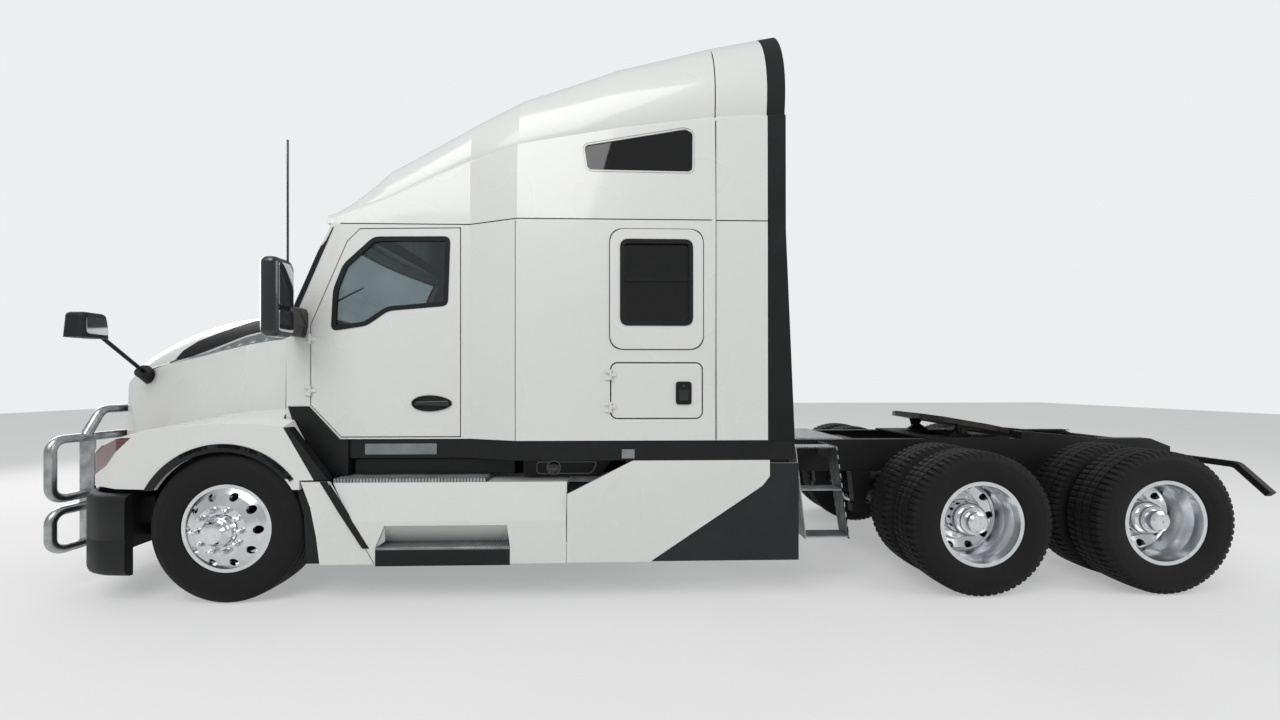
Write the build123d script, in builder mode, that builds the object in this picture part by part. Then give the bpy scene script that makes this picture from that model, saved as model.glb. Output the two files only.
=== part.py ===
import math
import os

from build123d import *

# Road tractor with a high-roof sleeper cab: nose towards -X, left (driver's) side towards -Y, +Z up.
# All lengths are millimetres.  The origin is on the floor under the middle of the whole vehicle.
# Lengthways places (names ending in _AT) are counted backwards from the front axle.

# Overall reach of the vehicle, and the places of its axles
GUARD_REACH = 1452
FRAME_END_AT = 7434
FRONT_AXLE_X = (GUARD_REACH - FRAME_END_AT) / 2
WHEELBASE = 5840
BOGIE_SPACING = 1320
DRIVE_AXLES_AT = [WHEELBASE - BOGIE_SPACING / 2, WHEELBASE + BOGIE_SPACING / 2]

# Tyres and rims
TYRE_R = 508
TYRE_HALF = 143
BEAD_R = 286
FLANGE_R = 298.5
RIM_HALF = 117
RIM_WALL = 12
DISC_OFFSET = 168
DISC_T = 20
HUB_BORE_R = 45.3
HUB_R = 108
HAND_HOLE_CIRCLE = 229.5
HAND_HOLE_R = 28
HAND_HOLES = 10
STEER_Y = 1040
DUAL_Y = 925
AXLE_Z = TYRE_R

# Running clearance between pieces that turn on each other, and the shut line of a door
RUN = 0.3
SHUT = 8
BAGGAGE_SHUT = 9

# Ladder frame
RAIL_OUT = 432
RAIL_TOP = 1010
RAIL_H = 270
RAIL_FLANGE = 85
RAIL_WEB = 8
RAIL_START_AT = -1080
RAIL_TAPER = 180
RAIL_TAPER_DROP = 70

# Cab, sleeper and roof
CAB_HALF = 1060
SLEEPER_HALF = 1200
BODY_Z = 1100
BODY_WALL = 55
COWL_Z = 1930
SEAM_Z = 2612
CAB_REAR_AT = 1600
FLARE_END_AT = 1962
SLEEPER_REAR_AT = 3319
EXTENDER_REAR_AT = 3679
RUBBER_REAR_AT = 3866
RUBBER_TOP_AT, RUBBER_BEND_Z, RUBBER_CUT_Z = 3806, 2550, 4200
EXTENDER_WALL = 40
RUBBER_WALL = 22
GLASS_T = 8
GLASS_SINK = 10

# Greenhouse plan at the cowl and at the seam: where its curved front meets the sides and the middle
COWL_CORNER_AT, COWL_NOSE_AT = 330, 120
HEADER_CORNER_AT, HEADER_NOSE_AT = 640, 510
COWL_GAP = 14

# Door hinges: barrels just outside the wall, their pins on the cab or sleeper
HINGE_OUT = 11
HINGE_R, HINGE_PIN_R = 10, 6
HINGE_LUG, HINGE_LEAF = 24, 40
DOOR_HINGES_Z = (1440, 1800)
BAGGAGE_HINGES_Z = (1330, 1550)
DOOR_BACK = 6

# Doors and windows, as corners (behind the front axle, height)
DOOR = [(492, 1339), (492, 1900), (745, 2490), (835, 2580), (1538, 2592), (1538, 1110), (705, 1110)]
DOOR_GLASS = [
    (643, 1864), (878, 1900), (1030, 2006), (1440, 2043),
    (1457, 2520), (935, 2514), (727, 2322), (658, 2146),
]
BAGGAGE_DOOR = [(2592, 1246), (3229, 1246), (3229, 1636), (2592, 1636)]
SLEEPER_WINDOW = [(2660, 1884), (3160, 1884), (3160, 2476), (2660, 2476)]
BEZEL = [(2592, 1726), (3229, 1726), (3229, 2544), (2592, 2544)]
DOOR_GLASS_R, WINDOW_R, BEZEL_R, ROOF_WINDOW_R, BAGGAGE_R = 38, 60, 95, 32, 50
ROOF_WINDOW = [(2440, 2952), (3157, 2945), (3160, 3215), (3110, 3240), (2415, 3119)]
WINDSHIELD = [(-930, 1990), (930, 1990), (880, 2566), (-880, 2566)]

# Roof sections: place, half width at the seam, wall top's half width and height, half width of the ledge on it,
# crown half width and height
ROOF = [
    (490, 1060, 1058, 2622, 1050, 715, 2668),
    (640, 1060, 1056, 2650, 1044, 730, 2745),
    (992, 1060, 1052, 2780, 1036, 760, 3085),
    (1600, 1060, 1052, 3052, 1030, 790, 3445),
    (1962, 1200, 1186, 3122, 1140, 810, 3605),
    (2640, 1200, 1186, 3240, 1148, 860, 3840),
    (3319, 1200, 1188, 3318, 1160, 900, 3992),
    (3679, 1200, 1188, 3338, 1162, 910, 4058),
    (3866, 1200, 1188, 3348, 1163, 915, 4092),
]
LEDGE_RISE = 25
CROWN_RISE = 23

# Hood sections, with the roof's columns; the half width is at the foot
HOOD = [
    (-1318, 500, 478, 1440, 455, 300, 1600),
    (-1080, 690, 645, 1560, 605, 400, 1722),
    (-760, 775, 718, 1648, 668, 460, 1880),
    (-400, 850, 792, 1716, 735, 520, 1988),
    (240, 960, 926, 1810, 860, 600, 2058),
]
HOOD_WALL = 30
HOOD_FOOT_Z = 775
GRILLE = [(-430, 820), (430, 820), (405, 1440), (270, 1545), (-270, 1545), (-405, 1440)]
LAMP = [
    (-1290, 812), (-1090, 815), (-870, 925), (-640, 1124), (-720, 1121), (-900, 1078), (-1150, 915),
    (-1290, 835),
]
INTAKE = [
    (-800, 1650), (-560, 1722), (-150, 1852), (200, 1925), (200, 2000), (-140, 1965), (-430, 1875),
    (-600, 1815),
    (-715, 1745),
]
FENDER_HALF = 1190
ARCH_R, HOUSING_R = 530, 584
ARCH_SKIN_Y = 1155
HOOD_PIVOT_AT, HOOD_PIVOT_Z = -1205, 690
HOOD_PIN_R = 14
FENDER_REAR_TOP, FENDER_REAR_FOOT = (395, 1194), (598, 838)
FENDER_TOP = [
    (-1290, HOOD_FOOT_Z), (-1270, 830), (-1150, 940), (-990, 1040), (-740, 1120), (-536, 1174), (-276, 1200),
    (0, 1219), (234, 1219), FENDER_REAR_TOP, FENDER_REAR_FOOT, (505, 838), (505, HOOD_FOOT_Z),
]
# The fender's top climbs inwards to the hood's side, from no rise at one place to its whole rise at another
FLARE_IN_Y = 880
FLARE_FROM_AT, FLARE_TO_AT, FLARE_RISE = -750, 200, 110
FENDER_PLAN = [
    (-1300, 0), (-1290, 520), (-1180, 800), (-1020, 1010), (-760, 1130), (-300, FENDER_HALF),
    (700, FENDER_HALF),
    (700, 0),
]

# Bumper
BUMPER_LOW, BUMPER_TOP = 187, 745
BUMPER_WALL = 40
BUMPER_PLAN = [
    (-1285, 0), (-1285, 440), (-1200, 820), (-1024, 1070), (-860, 1165), (-650, 1180), (-650, 0),
]

# Guard in front of the nose
GUARD_R = 32
GUARD_AT = -(GUARD_REACH - GUARD_R)
GUARD_LOW_Z = 280
GUARD_PLATE_Y = 705
GUARD_PLATE_T = 16
GUARD_ARM_Y = 390

# Fairings, steps and skirts along the chassis
FAIRING_HALF = 1200
FAIRING_LOW = 268
FAIRING_TOP = 812
FAIRING_WALL = 25
STEP_Z = 838
LOW_STEP_Z = 383

# Fifth wheel
FIFTH_AT = 5645
FIFTH_Z = 1166
FIFTH_TILT = 10
FIFTH_T = 46
KINGPIN_R = 25.9

# Engine
ENGINE_HALF = 330


def side(half=0):
    """Plane facing the left side, half a width out: local x backwards from the front axle, local y up."""
    return Plane(origin=(FRONT_AXLE_X, -half, 0), x_dir=(1, 0, 0), z_dir=(0, -1, 0))


def level(height):
    """Level plane: local x backwards from the front axle, local y to the right of the vehicle."""
    return Plane(origin=(FRONT_AXLE_X, 0, height))


def station(at):
    """Cross plane facing backwards: local x to the right of the vehicle, local y up."""
    return Plane(origin=(FRONT_AXLE_X + at, 0, 0), x_dir=(0, 1, 0), z_dir=(1, 0, 0))


def save(piece, name):
    """Labels a finished piece and writes it as one STEP file."""
    piece.part.label = name
    export_step(piece.part, f"parts/{name}.step")


def prism(corners, inner, outer, radius=0):
    """Side outline, corners rounded to a radius, made solid between two half widths on the left side."""
    with BuildPart() as block:
        with BuildSketch(side(inner)) as outline:
            Polygon(*corners, align=None)
            if radius:
                fillet(outline.vertices(), radius)
        extrude(amount=outer - inner)
    return block.part


def both_sides(corners, inner, outer, radius=0):
    """The same outline on both sides of the vehicle."""
    left = prism(corners, inner, outer, radius)
    return left + mirror(left, about=Plane.XZ, mode=Mode.PRIVATE)


def inset_corners(corners, amount):
    """The outline's corners moved inwards by a shut line."""
    with BuildSketch(Plane.XY) as shape:
        Polygon(*corners, align=None)
        offset(amount=-amount, kind=Kind.INTERSECTION, mode=Mode.REPLACE)
    wire = shape.face().outer_wire()
    return [tuple(edge.position_at(0))[:2] for edge in wire.edges()]


def crown_section(row, inset, foot):
    """Closed section on its station: straight foot and sides, a ledge, arcs at shoulders and crown."""
    at, base, wall, wall_z, shoulder, crown, crown_z = row
    base, wall, shoulder, crown = base - inset, wall - inset, shoulder - inset, crown - inset / 2
    wall_z, crown_z = wall_z - inset / 2, crown_z - inset
    shoulder_z = wall_z + LEDGE_RISE
    mid = (crown + 0.74 * (shoulder - crown), shoulder_z + 0.68 * (crown_z - shoulder_z))
    right = [(base, foot), (wall, wall_z), (shoulder, shoulder_z)]
    with BuildSketch(station(at)) as section:
        with BuildLine():
            Polyline(*[(-y, z) for y, z in right[::-1]], *right)
            ThreePointArc((shoulder, shoulder_z), mid, (crown, crown_z))
            ThreePointArc((crown, crown_z), (0, crown_z + CROWN_RISE), (-crown, crown_z))
            ThreePointArc((-crown, crown_z), (-mid[0], mid[1]), (-shoulder, shoulder_z))
        make_face()
    return section.sketch


def crown_body(rows, inset, foot, ruled=True):
    """Solid through a table of crown sections."""
    return loft([crown_section(row, inset, foot) for row in rows], ruled=ruled, mode=Mode.PRIVATE)


def hinge(at, half, heights, moving):
    """Hinge barrels outside the left wall: the moving middle lugs, or the fixed outer lugs with their pins."""
    middle = HINGE_LUG / 2
    fixed = [(-middle - HINGE_LUG, -middle), (middle, middle + HINGE_LUG)]
    spans = [(RUN - middle, middle - RUN)] if moving else fixed
    leaf_end = at + (HINGE_LEAF if moving else -HINGE_LEAF)
    axis_y = -half - HINGE_OUT
    with BuildPart() as barrels:
        for height in heights:
            for low, top in spans:
                with BuildSketch(level(height + low)):
                    with Locations((at, axis_y)):
                        Circle(HINGE_R)
                    Polygon(
                        (at, 1 - half), (leaf_end, 1 - half), (leaf_end, -half - 4),
                        (at, axis_y - HINGE_R + 4),
                        align=None,
                    )
                extrude(amount=top - low)
            with BuildSketch(level(height - middle - HINGE_LUG)):
                with Locations((at, axis_y)):
                    Circle(HINGE_PIN_R + (RUN if moving else 0))
            extrude(amount=3 * HINGE_LUG, mode=Mode.SUBTRACT if moving else Mode.ADD)
    return barrels.part


def moved(row, at):
    """The same section at another place."""
    return (at, *row[1:])


os.makedirs("parts", exist_ok=True)

# Ladder frame: two channel rails joined by crossmembers, cab mounts, and the flap hangers at its tail
RAIL_LOW = RAIL_TOP - RAIL_H
CROSSMEMBERS_AT = [-1040, 1900, 2900, 3900, 4750, WHEELBASE, 6930, 7280]
CROSS_H, CROSS_W, CROSS_T = 190, 90, 10
CROSS_LOW = RAIL_LOW + (RAIL_H - CROSS_H) / 2
CROSS_TOP = CROSS_LOW + CROSS_H
CAB_MOUNTS_AT = [620, 1480, 3200]
HANGER_AT, HANGER_R = 7290, 22
TAIL_LAMP_R, TAIL_LAMP_T = 55, 36

# Brackets on the rails, as half widths and a side outline: bumper, guard arm, fairing arms, lamp plate
BUMPER_FACE_AT = -1245
GUARD_ARM_T = 40
BRACKETS = [
    (RAIL_OUT - 82, RAIL_OUT - RAIL_WEB, [
        (BUMPER_FACE_AT, 560), (BUMPER_FACE_AT, 725), (-1100, 900), (-980, 900), (-980, 560),
    ]),
    (GUARD_ARM_Y - GUARD_ARM_T / 2, GUARD_ARM_Y + GUARD_ARM_T / 2, [
        (GUARD_AT - 52, 262), (GUARD_AT - 40, 330), (GUARD_AT + 40, 335), (-1180, 335), (-1180, 620),
        (-1060, 620),
        (-1060, 262), (GUARD_AT + 40, 225), (GUARD_AT - 40, 228),
    ]),
    (RAIL_OUT - 8, 1165, [(630, 750), (690, 750), (690, 800), (630, 800)]),
    (RAIL_OUT - 8, 1060, [(1020, 741), (1066, 741), (1066, 787), (1020, 787)]),
    (RAIL_OUT - 8, 1120, [(2130, 741), (2176, 741), (2176, 787), (2130, 787)]),
    (RAIL_OUT - 8, 1175, [(3100, 760), (3160, 760), (3160, 820), (3100, 820)]),
    (RAIL_OUT - 8, 1170, [(3720, 760), (3780, 760), (3780, 820), (3720, 820)]),
    (0, RAIL_OUT - RAIL_WEB, [(7370, 790), (7380, 790), (7380, 960), (7370, 960)]),
]

with BuildPart() as frame:
    for hand in (-1, 1):
        with BuildSketch(station(RAIL_START_AT)):
            Polygon(
                (hand * RAIL_OUT, RAIL_LOW), (hand * RAIL_OUT, RAIL_TOP),
                (hand * (RAIL_OUT - RAIL_FLANGE), RAIL_TOP),
                (hand * (RAIL_OUT - RAIL_FLANGE), RAIL_TOP - RAIL_WEB),
                (hand * (RAIL_OUT - RAIL_WEB), RAIL_TOP - RAIL_WEB),
                (hand * (RAIL_OUT - RAIL_WEB), RAIL_LOW + RAIL_WEB),
                (hand * (RAIL_OUT - RAIL_FLANGE), RAIL_LOW + RAIL_WEB),
                (hand * (RAIL_OUT - RAIL_FLANGE), RAIL_LOW),
                align=None,
            )
        extrude(amount=FRAME_END_AT - RAIL_START_AT)
    taper = [
        (FRAME_END_AT - RAIL_TAPER, RAIL_TOP + 1), (FRAME_END_AT + 1, RAIL_TOP + 1),
        (FRAME_END_AT + 1, RAIL_TOP - RAIL_TAPER_DROP),
    ]
    with BuildSketch(side()):
        Polygon(*taper, align=None)
        Polygon(*[(at, RAIL_TOP + RAIL_LOW - z) for at, z in taper], align=None)
    extrude(amount=RAIL_OUT + 1, both=True, mode=Mode.SUBTRACT)
    for at in CROSSMEMBERS_AT:
        with BuildSketch(side()):
            Polygon(
                (at, CROSS_LOW), (at + CROSS_W, CROSS_LOW), (at + CROSS_W, CROSS_LOW + CROSS_T),
                (at + CROSS_T, CROSS_LOW + CROSS_T), (at + CROSS_T, CROSS_TOP - CROSS_T),
                (at + CROSS_W, CROSS_TOP - CROSS_T), (at + CROSS_W, CROSS_TOP), (at, CROSS_TOP),
                align=None,
            )
        extrude(amount=RAIL_OUT - RAIL_WEB, both=True)
    for at in CAB_MOUNTS_AT:
        with BuildSketch(level(RAIL_TOP)):
            with Locations((at, RAIL_OUT - 45), (at, 45 - RAIL_OUT)):
                Rectangle(90, 80)
        extrude(amount=BODY_Z - RAIL_TOP)
    for low_y, high_y, corners in BRACKETS:
        add(both_sides(corners, low_y, high_y))
    with BuildSketch(side()):
        with Locations((HOOD_PIVOT_AT, HOOD_PIVOT_Z)):
            Circle(HOOD_PIN_R + RUN)
        with Locations((GUARD_AT, GUARD_LOW_Z)):
            Circle(GUARD_R + RUN)
    extrude(amount=RAIL_OUT + 60, both=True, mode=Mode.SUBTRACT)
    hanger_path = [(RAIL_OUT - RAIL_WEB, 880), (1000, 880), (1190, 700)]
    for hand in (-1, 1):
        with BuildLine(station(HANGER_AT)) as hanger:
            FilletPolyline(*[(hand * y, z) for y, z in hanger_path], radius=60)
        with BuildSketch(Plane(origin=hanger.line @ 0, z_dir=hanger.line % 0)):
            Rectangle(2 * HANGER_R, 2 * HANGER_R)
        sweep()
    with BuildSketch(station(7370)):
        with Locations((-260, 875), (260, 875)):
            Circle(TAIL_LAMP_R)
    extrude(amount=TAIL_LAMP_T)
save(frame, "frame")

# Front axle: forged I-beam with a low middle and an eye for the kingpin at each end
KINGPIN_Y = 850
KINGPIN_PIN_R = 22
EYE_R = 46
EYE_HALF = 60
BEAM_DROP = 85
BEAM_PAD_Y = 430
BEAM = [(0, -1), (BEAM_PAD_Y + 60, -1), (KINGPIN_Y - 60, 0), (KINGPIN_Y, 0)]
BEAM_HALF = 48
BEAM_T = 110

with BuildPart() as front_axle:
    upper = [(y, AXLE_Z + BEAM_DROP * k + BEAM_HALF) for y, k in BEAM]
    lower = [(y, AXLE_Z + BEAM_DROP * k - BEAM_HALF) for y, k in BEAM]
    for hand in (-1, 1):
        with BuildSketch(station(0)):
            Polygon(*[(hand * y, z) for y, z in upper + lower[::-1]], align=None)
        extrude(amount=BEAM_T / 2, both=True)
        with BuildSketch(level(AXLE_Z)):
            with Locations((0, hand * KINGPIN_Y)):
                Circle(EYE_R)
        extrude(amount=EYE_HALF, both=True)
        for face in (-1, 1):
            with BuildSketch(station(face * BEAM_T / 2)):
                Polygon(
                    *[(hand * y, z - 22) for y, z in upper[:3]],
                    *[(hand * y, z + 22) for y, z in lower[:3][::-1]],
                    align=None,
                )
            extrude(amount=-face * 36, mode=Mode.SUBTRACT)
        with BuildSketch(level(AXLE_Z)):
            with Locations((0, hand * KINGPIN_Y)):
                Circle(KINGPIN_PIN_R + RUN)
        extrude(amount=EYE_HALF, both=True, mode=Mode.SUBTRACT)

# Springs: leaf packs over the front axle; hanger, trailing arm and air spring at each side of each drive axle
SPRING_HALF = 40
SPRING_Y = RAIL_OUT - RAIL_FLANGE / 2
SPRING_LOW = AXLE_Z - BEAM_DROP + BEAM_HALF
SPRING_SEAT = 70
SPRING_REACH = 760
SPRING_SHORT = 60
LEAF_REACHES = (SPRING_REACH, 620, 450)
LEAF_T = 18
LEAF_RISE = 90
DRIVE_TUBE_R = 74
ARM_Y, ARM_HALF = 415, 42
ARM_Z = AXLE_Z - DRIVE_TUBE_R
AIR_R = 125

with BuildPart() as springs:
    for count, reach in enumerate(LEAF_REACHES):
        low = SPRING_LOW + LEAF_T * (len(LEAF_REACHES) - 1 - count)
        end = low + LEAF_RISE * (reach / SPRING_REACH) ** 2
        with BuildSketch(side(SPRING_Y - SPRING_HALF)):
            Polygon(
                (-reach, end), (-SPRING_SEAT, low), (SPRING_SEAT, low), (reach - SPRING_SHORT, end),
                (reach - SPRING_SHORT, end + LEAF_T), (SPRING_SEAT, low + LEAF_T),
                (-SPRING_SEAT, low + LEAF_T),
                (-reach, end + LEAF_T), align=None,
            )
        extrude(amount=2 * SPRING_HALF)
    for at in (-SPRING_REACH, SPRING_REACH - SPRING_SHORT):
        with BuildSketch(side(SPRING_Y - SPRING_HALF)):
            Polygon((at - 60, RAIL_LOW), (at + 60, RAIL_LOW), (at + 30, 590), (at - 30, 590), align=None)
        extrude(amount=2 * SPRING_HALF)
    for at in DRIVE_AXLES_AT:
        with BuildSketch(side(ARM_Y - ARM_HALF)):
            Polygon(
                (at - 560, 470), (at - 430, 470), (at - 60, ARM_Z), (at + 400, ARM_Z), (at + 400, ARM_Z - 40),
                (at + 60, ARM_Z - 70), (at - 60, ARM_Z - 70), (at - 560, 400), align=None,
            )
            Polygon((at - 570, RAIL_LOW), (at - 400, RAIL_LOW), (at - 450, 440), (at - 540, 440), align=None)
        extrude(amount=2 * ARM_HALF)
        with BuildSketch(level(ARM_Z)):
            with Locations((at + 300, -ARM_Y + 12)):
                Circle(AIR_R)
        extrude(amount=RAIL_LOW - ARM_Z)
    mirror(about=Plane.XZ)
save(springs, "springs")

# Steering knuckles: a yoke round the beam's eye, the kingpin through it, the spindle and the brake drum
YOKE_T = 34
SPINDLE_R = HUB_BORE_R - RUN
DRUM_R = 205
DRUM_IN, DRUM_OUT = 935, 1085
STEER_HUB_OUT = STEER_Y + DISC_OFFSET


def knuckle(hand):
    with BuildPart() as body:
        for face in (-1, 1):
            with BuildSketch(level(AXLE_Z + face * (EYE_HALF + RUN))):
                with Locations((0, hand * KINGPIN_Y)):
                    Circle(EYE_R)
                with Locations((0, hand * (KINGPIN_Y + 45))):
                    Rectangle(2 * EYE_R, 90)
            extrude(amount=face * YOKE_T)
        with BuildSketch(level(AXLE_Z)):
            with Locations((0, hand * KINGPIN_Y)):
                Circle(KINGPIN_PIN_R)
        extrude(amount=EYE_HALF + YOKE_T + 12, both=True)
        across_plane = Plane(
            origin=(FRONT_AXLE_X, hand * (KINGPIN_Y + EYE_R + 8), AXLE_Z), x_dir=(1, 0, 0), z_dir=(0, hand, 0)
        )
        with BuildSketch(across_plane):
            Rectangle(2 * EYE_R, 2 * (EYE_HALF + YOKE_T))
        extrude(amount=30)
        with BuildSketch(across_plane.offset(DRUM_IN - KINGPIN_Y - EYE_R - 8)):
            Circle(DRUM_R)
        extrude(amount=DRUM_OUT - DRUM_IN)
        with BuildSketch(across_plane):
            Circle(SPINDLE_R)
        extrude(amount=STEER_HUB_OUT - KINGPIN_Y - EYE_R - 8)
    return body


for hand, name in ((-1, "knuckle_left"), (1, "knuckle_right")):
    save(knuckle(hand), name)


# Wheels.  A tyre's or rim's section is drawn with s from the rim's middle towards its disc, r from the axle
TYRE_SECTION = [
    (-101, BEAD_R), (-106, FLANGE_R + 1), (-129, 320), (-TYRE_HALF, 400), (-128, 488), (-96, 504),
    (0, TYRE_R),
    (96, 504), (128, 488), (TYRE_HALF, 400), (129, 320), (106, FLANGE_R + 1), (101, BEAD_R),
]
SEAT_R = BEAD_R - RUN
RIM_SECTION = [
    (-RIM_HALF, FLANGE_R), (-RIM_HALF + 10, FLANGE_R), (-RIM_HALF + 14, SEAT_R), (-60, SEAT_R),
    (0, BEAD_R - 24), (60, SEAT_R), (RIM_HALF - 14, SEAT_R), (RIM_HALF - 10, FLANGE_R),
    (RIM_HALF, FLANGE_R), (RIM_HALF, BEAD_R - RIM_WALL), (140, 240), (DISC_OFFSET, 168), (DISC_OFFSET, HUB_R),
    (DISC_OFFSET - DISC_T, HUB_R), (DISC_OFFSET - DISC_T, 166), (116, 236), (96, BEAD_R - 34),
    (0, BEAD_R - 24 - RIM_WALL), (-60, BEAD_R - RIM_WALL - 4), (-RIM_HALF, BEAD_R - RIM_WALL - 2),
]


def spun(at, middle, disc_hand, section):
    """Ring spun from a wheel section about its axle."""
    plane = Plane(origin=(FRONT_AXLE_X + at, middle, AXLE_Z), x_dir=(0, 1, 0), z_dir=(1, 0, 0))
    with BuildPart() as ring:
        with BuildSketch(plane):
            Polygon(*[(disc_hand * s, r) for s, r in section], align=None)
        revolve(axis=Axis((FRONT_AXLE_X + at, middle, AXLE_Z), (0, 1, 0)))
    return ring.part


def rim(at, middle, disc_hand):
    """Disc wheel with its ring of hand holes."""
    plane = Plane(origin=(FRONT_AXLE_X + at, middle, AXLE_Z), x_dir=(1, 0, 0), z_dir=(0, disc_hand, 0))
    with BuildPart() as wheel:
        add(spun(at, middle, disc_hand, RIM_SECTION))
        with BuildSketch(plane.offset(RIM_HALF - 10)):
            with PolarLocations(HAND_HOLE_CIRCLE, HAND_HOLES):
                Circle(HAND_HOLE_R)
        extrude(amount=DISC_OFFSET - RIM_HALF, mode=Mode.SUBTRACT)
    return wheel.part


def hub(at, hand, section):
    return spun(at, 0, hand, section)


STEER_HUB = [
    (STEER_Y + 60, HUB_BORE_R), (STEER_HUB_OUT + 2, HUB_BORE_R), (STEER_HUB_OUT + 2, 0),
    (STEER_HUB_OUT + 78, 0),
    (STEER_HUB_OUT + 76, 60), (STEER_HUB_OUT + 64, 68), (STEER_HUB_OUT + 46, 70),
    (STEER_HUB_OUT + 30, HUB_R - 10),
    (STEER_HUB_OUT + 8, HUB_R), (STEER_HUB_OUT - DISC_T, HUB_R), (STEER_Y + 60, HUB_R - 10),
]
DRIVE_HUB = [
    (DUAL_Y - 110, HUB_BORE_R), (DUAL_Y + 178, HUB_BORE_R), (DUAL_Y + 178, 0), (DUAL_Y + 262, 0),
    (DUAL_Y + 258, 56), (DUAL_Y + 246, 72), (DUAL_Y + 206, 76), (DUAL_Y + 204, 96), (DUAL_Y + 190, 98),
    (DUAL_Y + 188, 82), (DUAL_Y + 60, HUB_R - 6), (DUAL_Y + 30, HUB_R), (DUAL_Y - 60, HUB_R),
    (DUAL_Y - 110, HUB_R - 10),
]
SIDES = (("left", -1), ("right", 1))

for name, hand in SIDES:
    with BuildPart() as tyre:
        add(spun(0, hand * STEER_Y, hand, TYRE_SECTION))
    save(tyre, f"tyre_steer_{name}")
    with BuildPart() as rims:
        add(rim(0, hand * STEER_Y, hand))
        add(hub(0, hand, STEER_HUB))
    save(rims, f"rim_steer_{name}")
    for number, at in enumerate(DRIVE_AXLES_AT, 1):
        duals = [(hand * (DUAL_Y + DISC_OFFSET), -hand), (hand * (DUAL_Y - DISC_OFFSET), hand)]
        with BuildPart() as tyre:
            for middle, disc_hand in duals:
                add(spun(at, middle, disc_hand, TYRE_SECTION))
        save(tyre, f"tyres_drive_{number}_{name}")
        with BuildPart() as rims:
            for middle, disc_hand in duals:
                add(rim(at, middle, disc_hand))
            add(hub(at, hand, DRIVE_HUB))
        save(rims, f"rims_drive_{number}_{name}")

# Drive axles: tube, differential housing, brake drums and the hub spindles
DIFF_R = 205
with BuildPart() as axles:
    add(front_axle)
    for at in DRIVE_AXLES_AT:
        centre = Plane(origin=(FRONT_AXLE_X + at, 0, AXLE_Z), x_dir=(1, 0, 0), z_dir=(0, 1, 0))
        with BuildSketch(centre):
            Circle(DRIVE_TUBE_R)
        extrude(amount=DUAL_Y - 175, both=True)
        with BuildSketch(centre):
            Circle(DIFF_R)
        extrude(amount=105, both=True)
        bowl_plane = Plane(origin=(FRONT_AXLE_X + at, 0, AXLE_Z + 30), x_dir=(0, 1, 0), z_dir=(-1, 0, 0))
        with BuildSketch(bowl_plane):
            Circle(120)
        extrude(amount=330)
        for hand in (-1, 1):
            with BuildSketch(centre.offset(hand * (DUAL_Y - 305))):
                Circle(DRUM_R)
            extrude(amount=hand * 130)
            with BuildSketch(centre.offset(hand * (DUAL_Y - 175))):
                Circle(SPINDLE_R)
            extrude(amount=hand * 350)
save(axles, "axles")

# Engine and gearbox as plain masses at their real place, on feet to the rails, and the radiator ahead of them
RADIATOR_HALF = RAIL_OUT - RAIL_FLANGE - 5
with BuildPart() as engine:
    with BuildSketch(side()):
        Polygon((-860, 690), (80, 690), (80, 1540), (-860, 1500), align=None)
    extrude(amount=ENGINE_HALF, both=True)
    with BuildSketch(side()):
        Polygon((60, 640), (900, 660), (1500, 720), (1500, 900), (900, 1020), (60, 1060), align=None)
    extrude(amount=240, both=True)
    for at in (-560, 480):
        with BuildSketch(side()):
            Polygon((at, 800), (at + 90, 800), (at + 90, 930), (at, 930), align=None)
        extrude(amount=RAIL_OUT - RAIL_WEB, both=True)
    with BuildSketch(side()):
        Polygon((-1030, CROSS_TOP), (-950, CROSS_TOP), (-950, 1560), (-1030, 1560), align=None)
    extrude(amount=RADIATOR_HALF, both=True)
save(engine, "engine")

# Fuel tanks hung beside the rails behind the fairings
TANK_R = 225
TANK_Y = 735
TANK_Z = 495
TANK_FROM_AT, TANK_TO_AT = 1090, 3050
TANK_STRAPS_AT = (1300, 1950, 2700)
with BuildPart() as fuel_tanks:
    with BuildSketch(station(TANK_FROM_AT)):
        with Locations((-TANK_Y, TANK_Z)):
            Circle(TANK_R)
    extrude(amount=TANK_TO_AT - TANK_FROM_AT)
    fillet(fuel_tanks.edges().filter_by(GeomType.CIRCLE), 30)
    for at in TANK_STRAPS_AT:
        with BuildSketch(station(at)):
            Polygon(
                (-RAIL_OUT, 960), (-RAIL_OUT, 760), (-470, 420), (-540, 300), (-620, 330), (-620, 690),
                (-500, 960),
                align=None,
            )
        extrude(amount=70)
    mirror(about=Plane.XZ)
save(fuel_tanks, "fuel_tanks")

# Cab shell: curved front bulkhead, flat sides and floor, raked greenhouse; open to the sleeper behind


def cab_plan(corner_at, nose_at, half, rear_at, height):
    """Level outline with a bowed front, flat sides and a straight back."""
    with BuildSketch(level(height)) as plan:
        with BuildLine():
            ThreePointArc((corner_at, half), (nose_at, 0), (corner_at, -half))
            Polyline((corner_at, -half), (rear_at, -half), (rear_at, half), (corner_at, half))
        make_face()
    return plan.sketch


def greenhouse(inset, rear_at=CAB_REAR_AT):
    return loft([
        cab_plan(COWL_CORNER_AT + inset, COWL_NOSE_AT + inset, CAB_HALF - inset, rear_at, COWL_Z),
        cab_plan(HEADER_CORNER_AT + inset, HEADER_NOSE_AT + inset, CAB_HALF - inset, rear_at, SEAM_Z),
    ], ruled=True, mode=Mode.PRIVATE)


def lower_cab(inset, floor, rear_at=CAB_REAR_AT):
    with BuildPart() as block:
        add(cab_plan(COWL_CORNER_AT + inset, COWL_NOSE_AT + inset, CAB_HALF - inset, rear_at, BODY_Z + floor))
        extrude(amount=COWL_Z - BODY_Z - floor)
    return block.part


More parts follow.
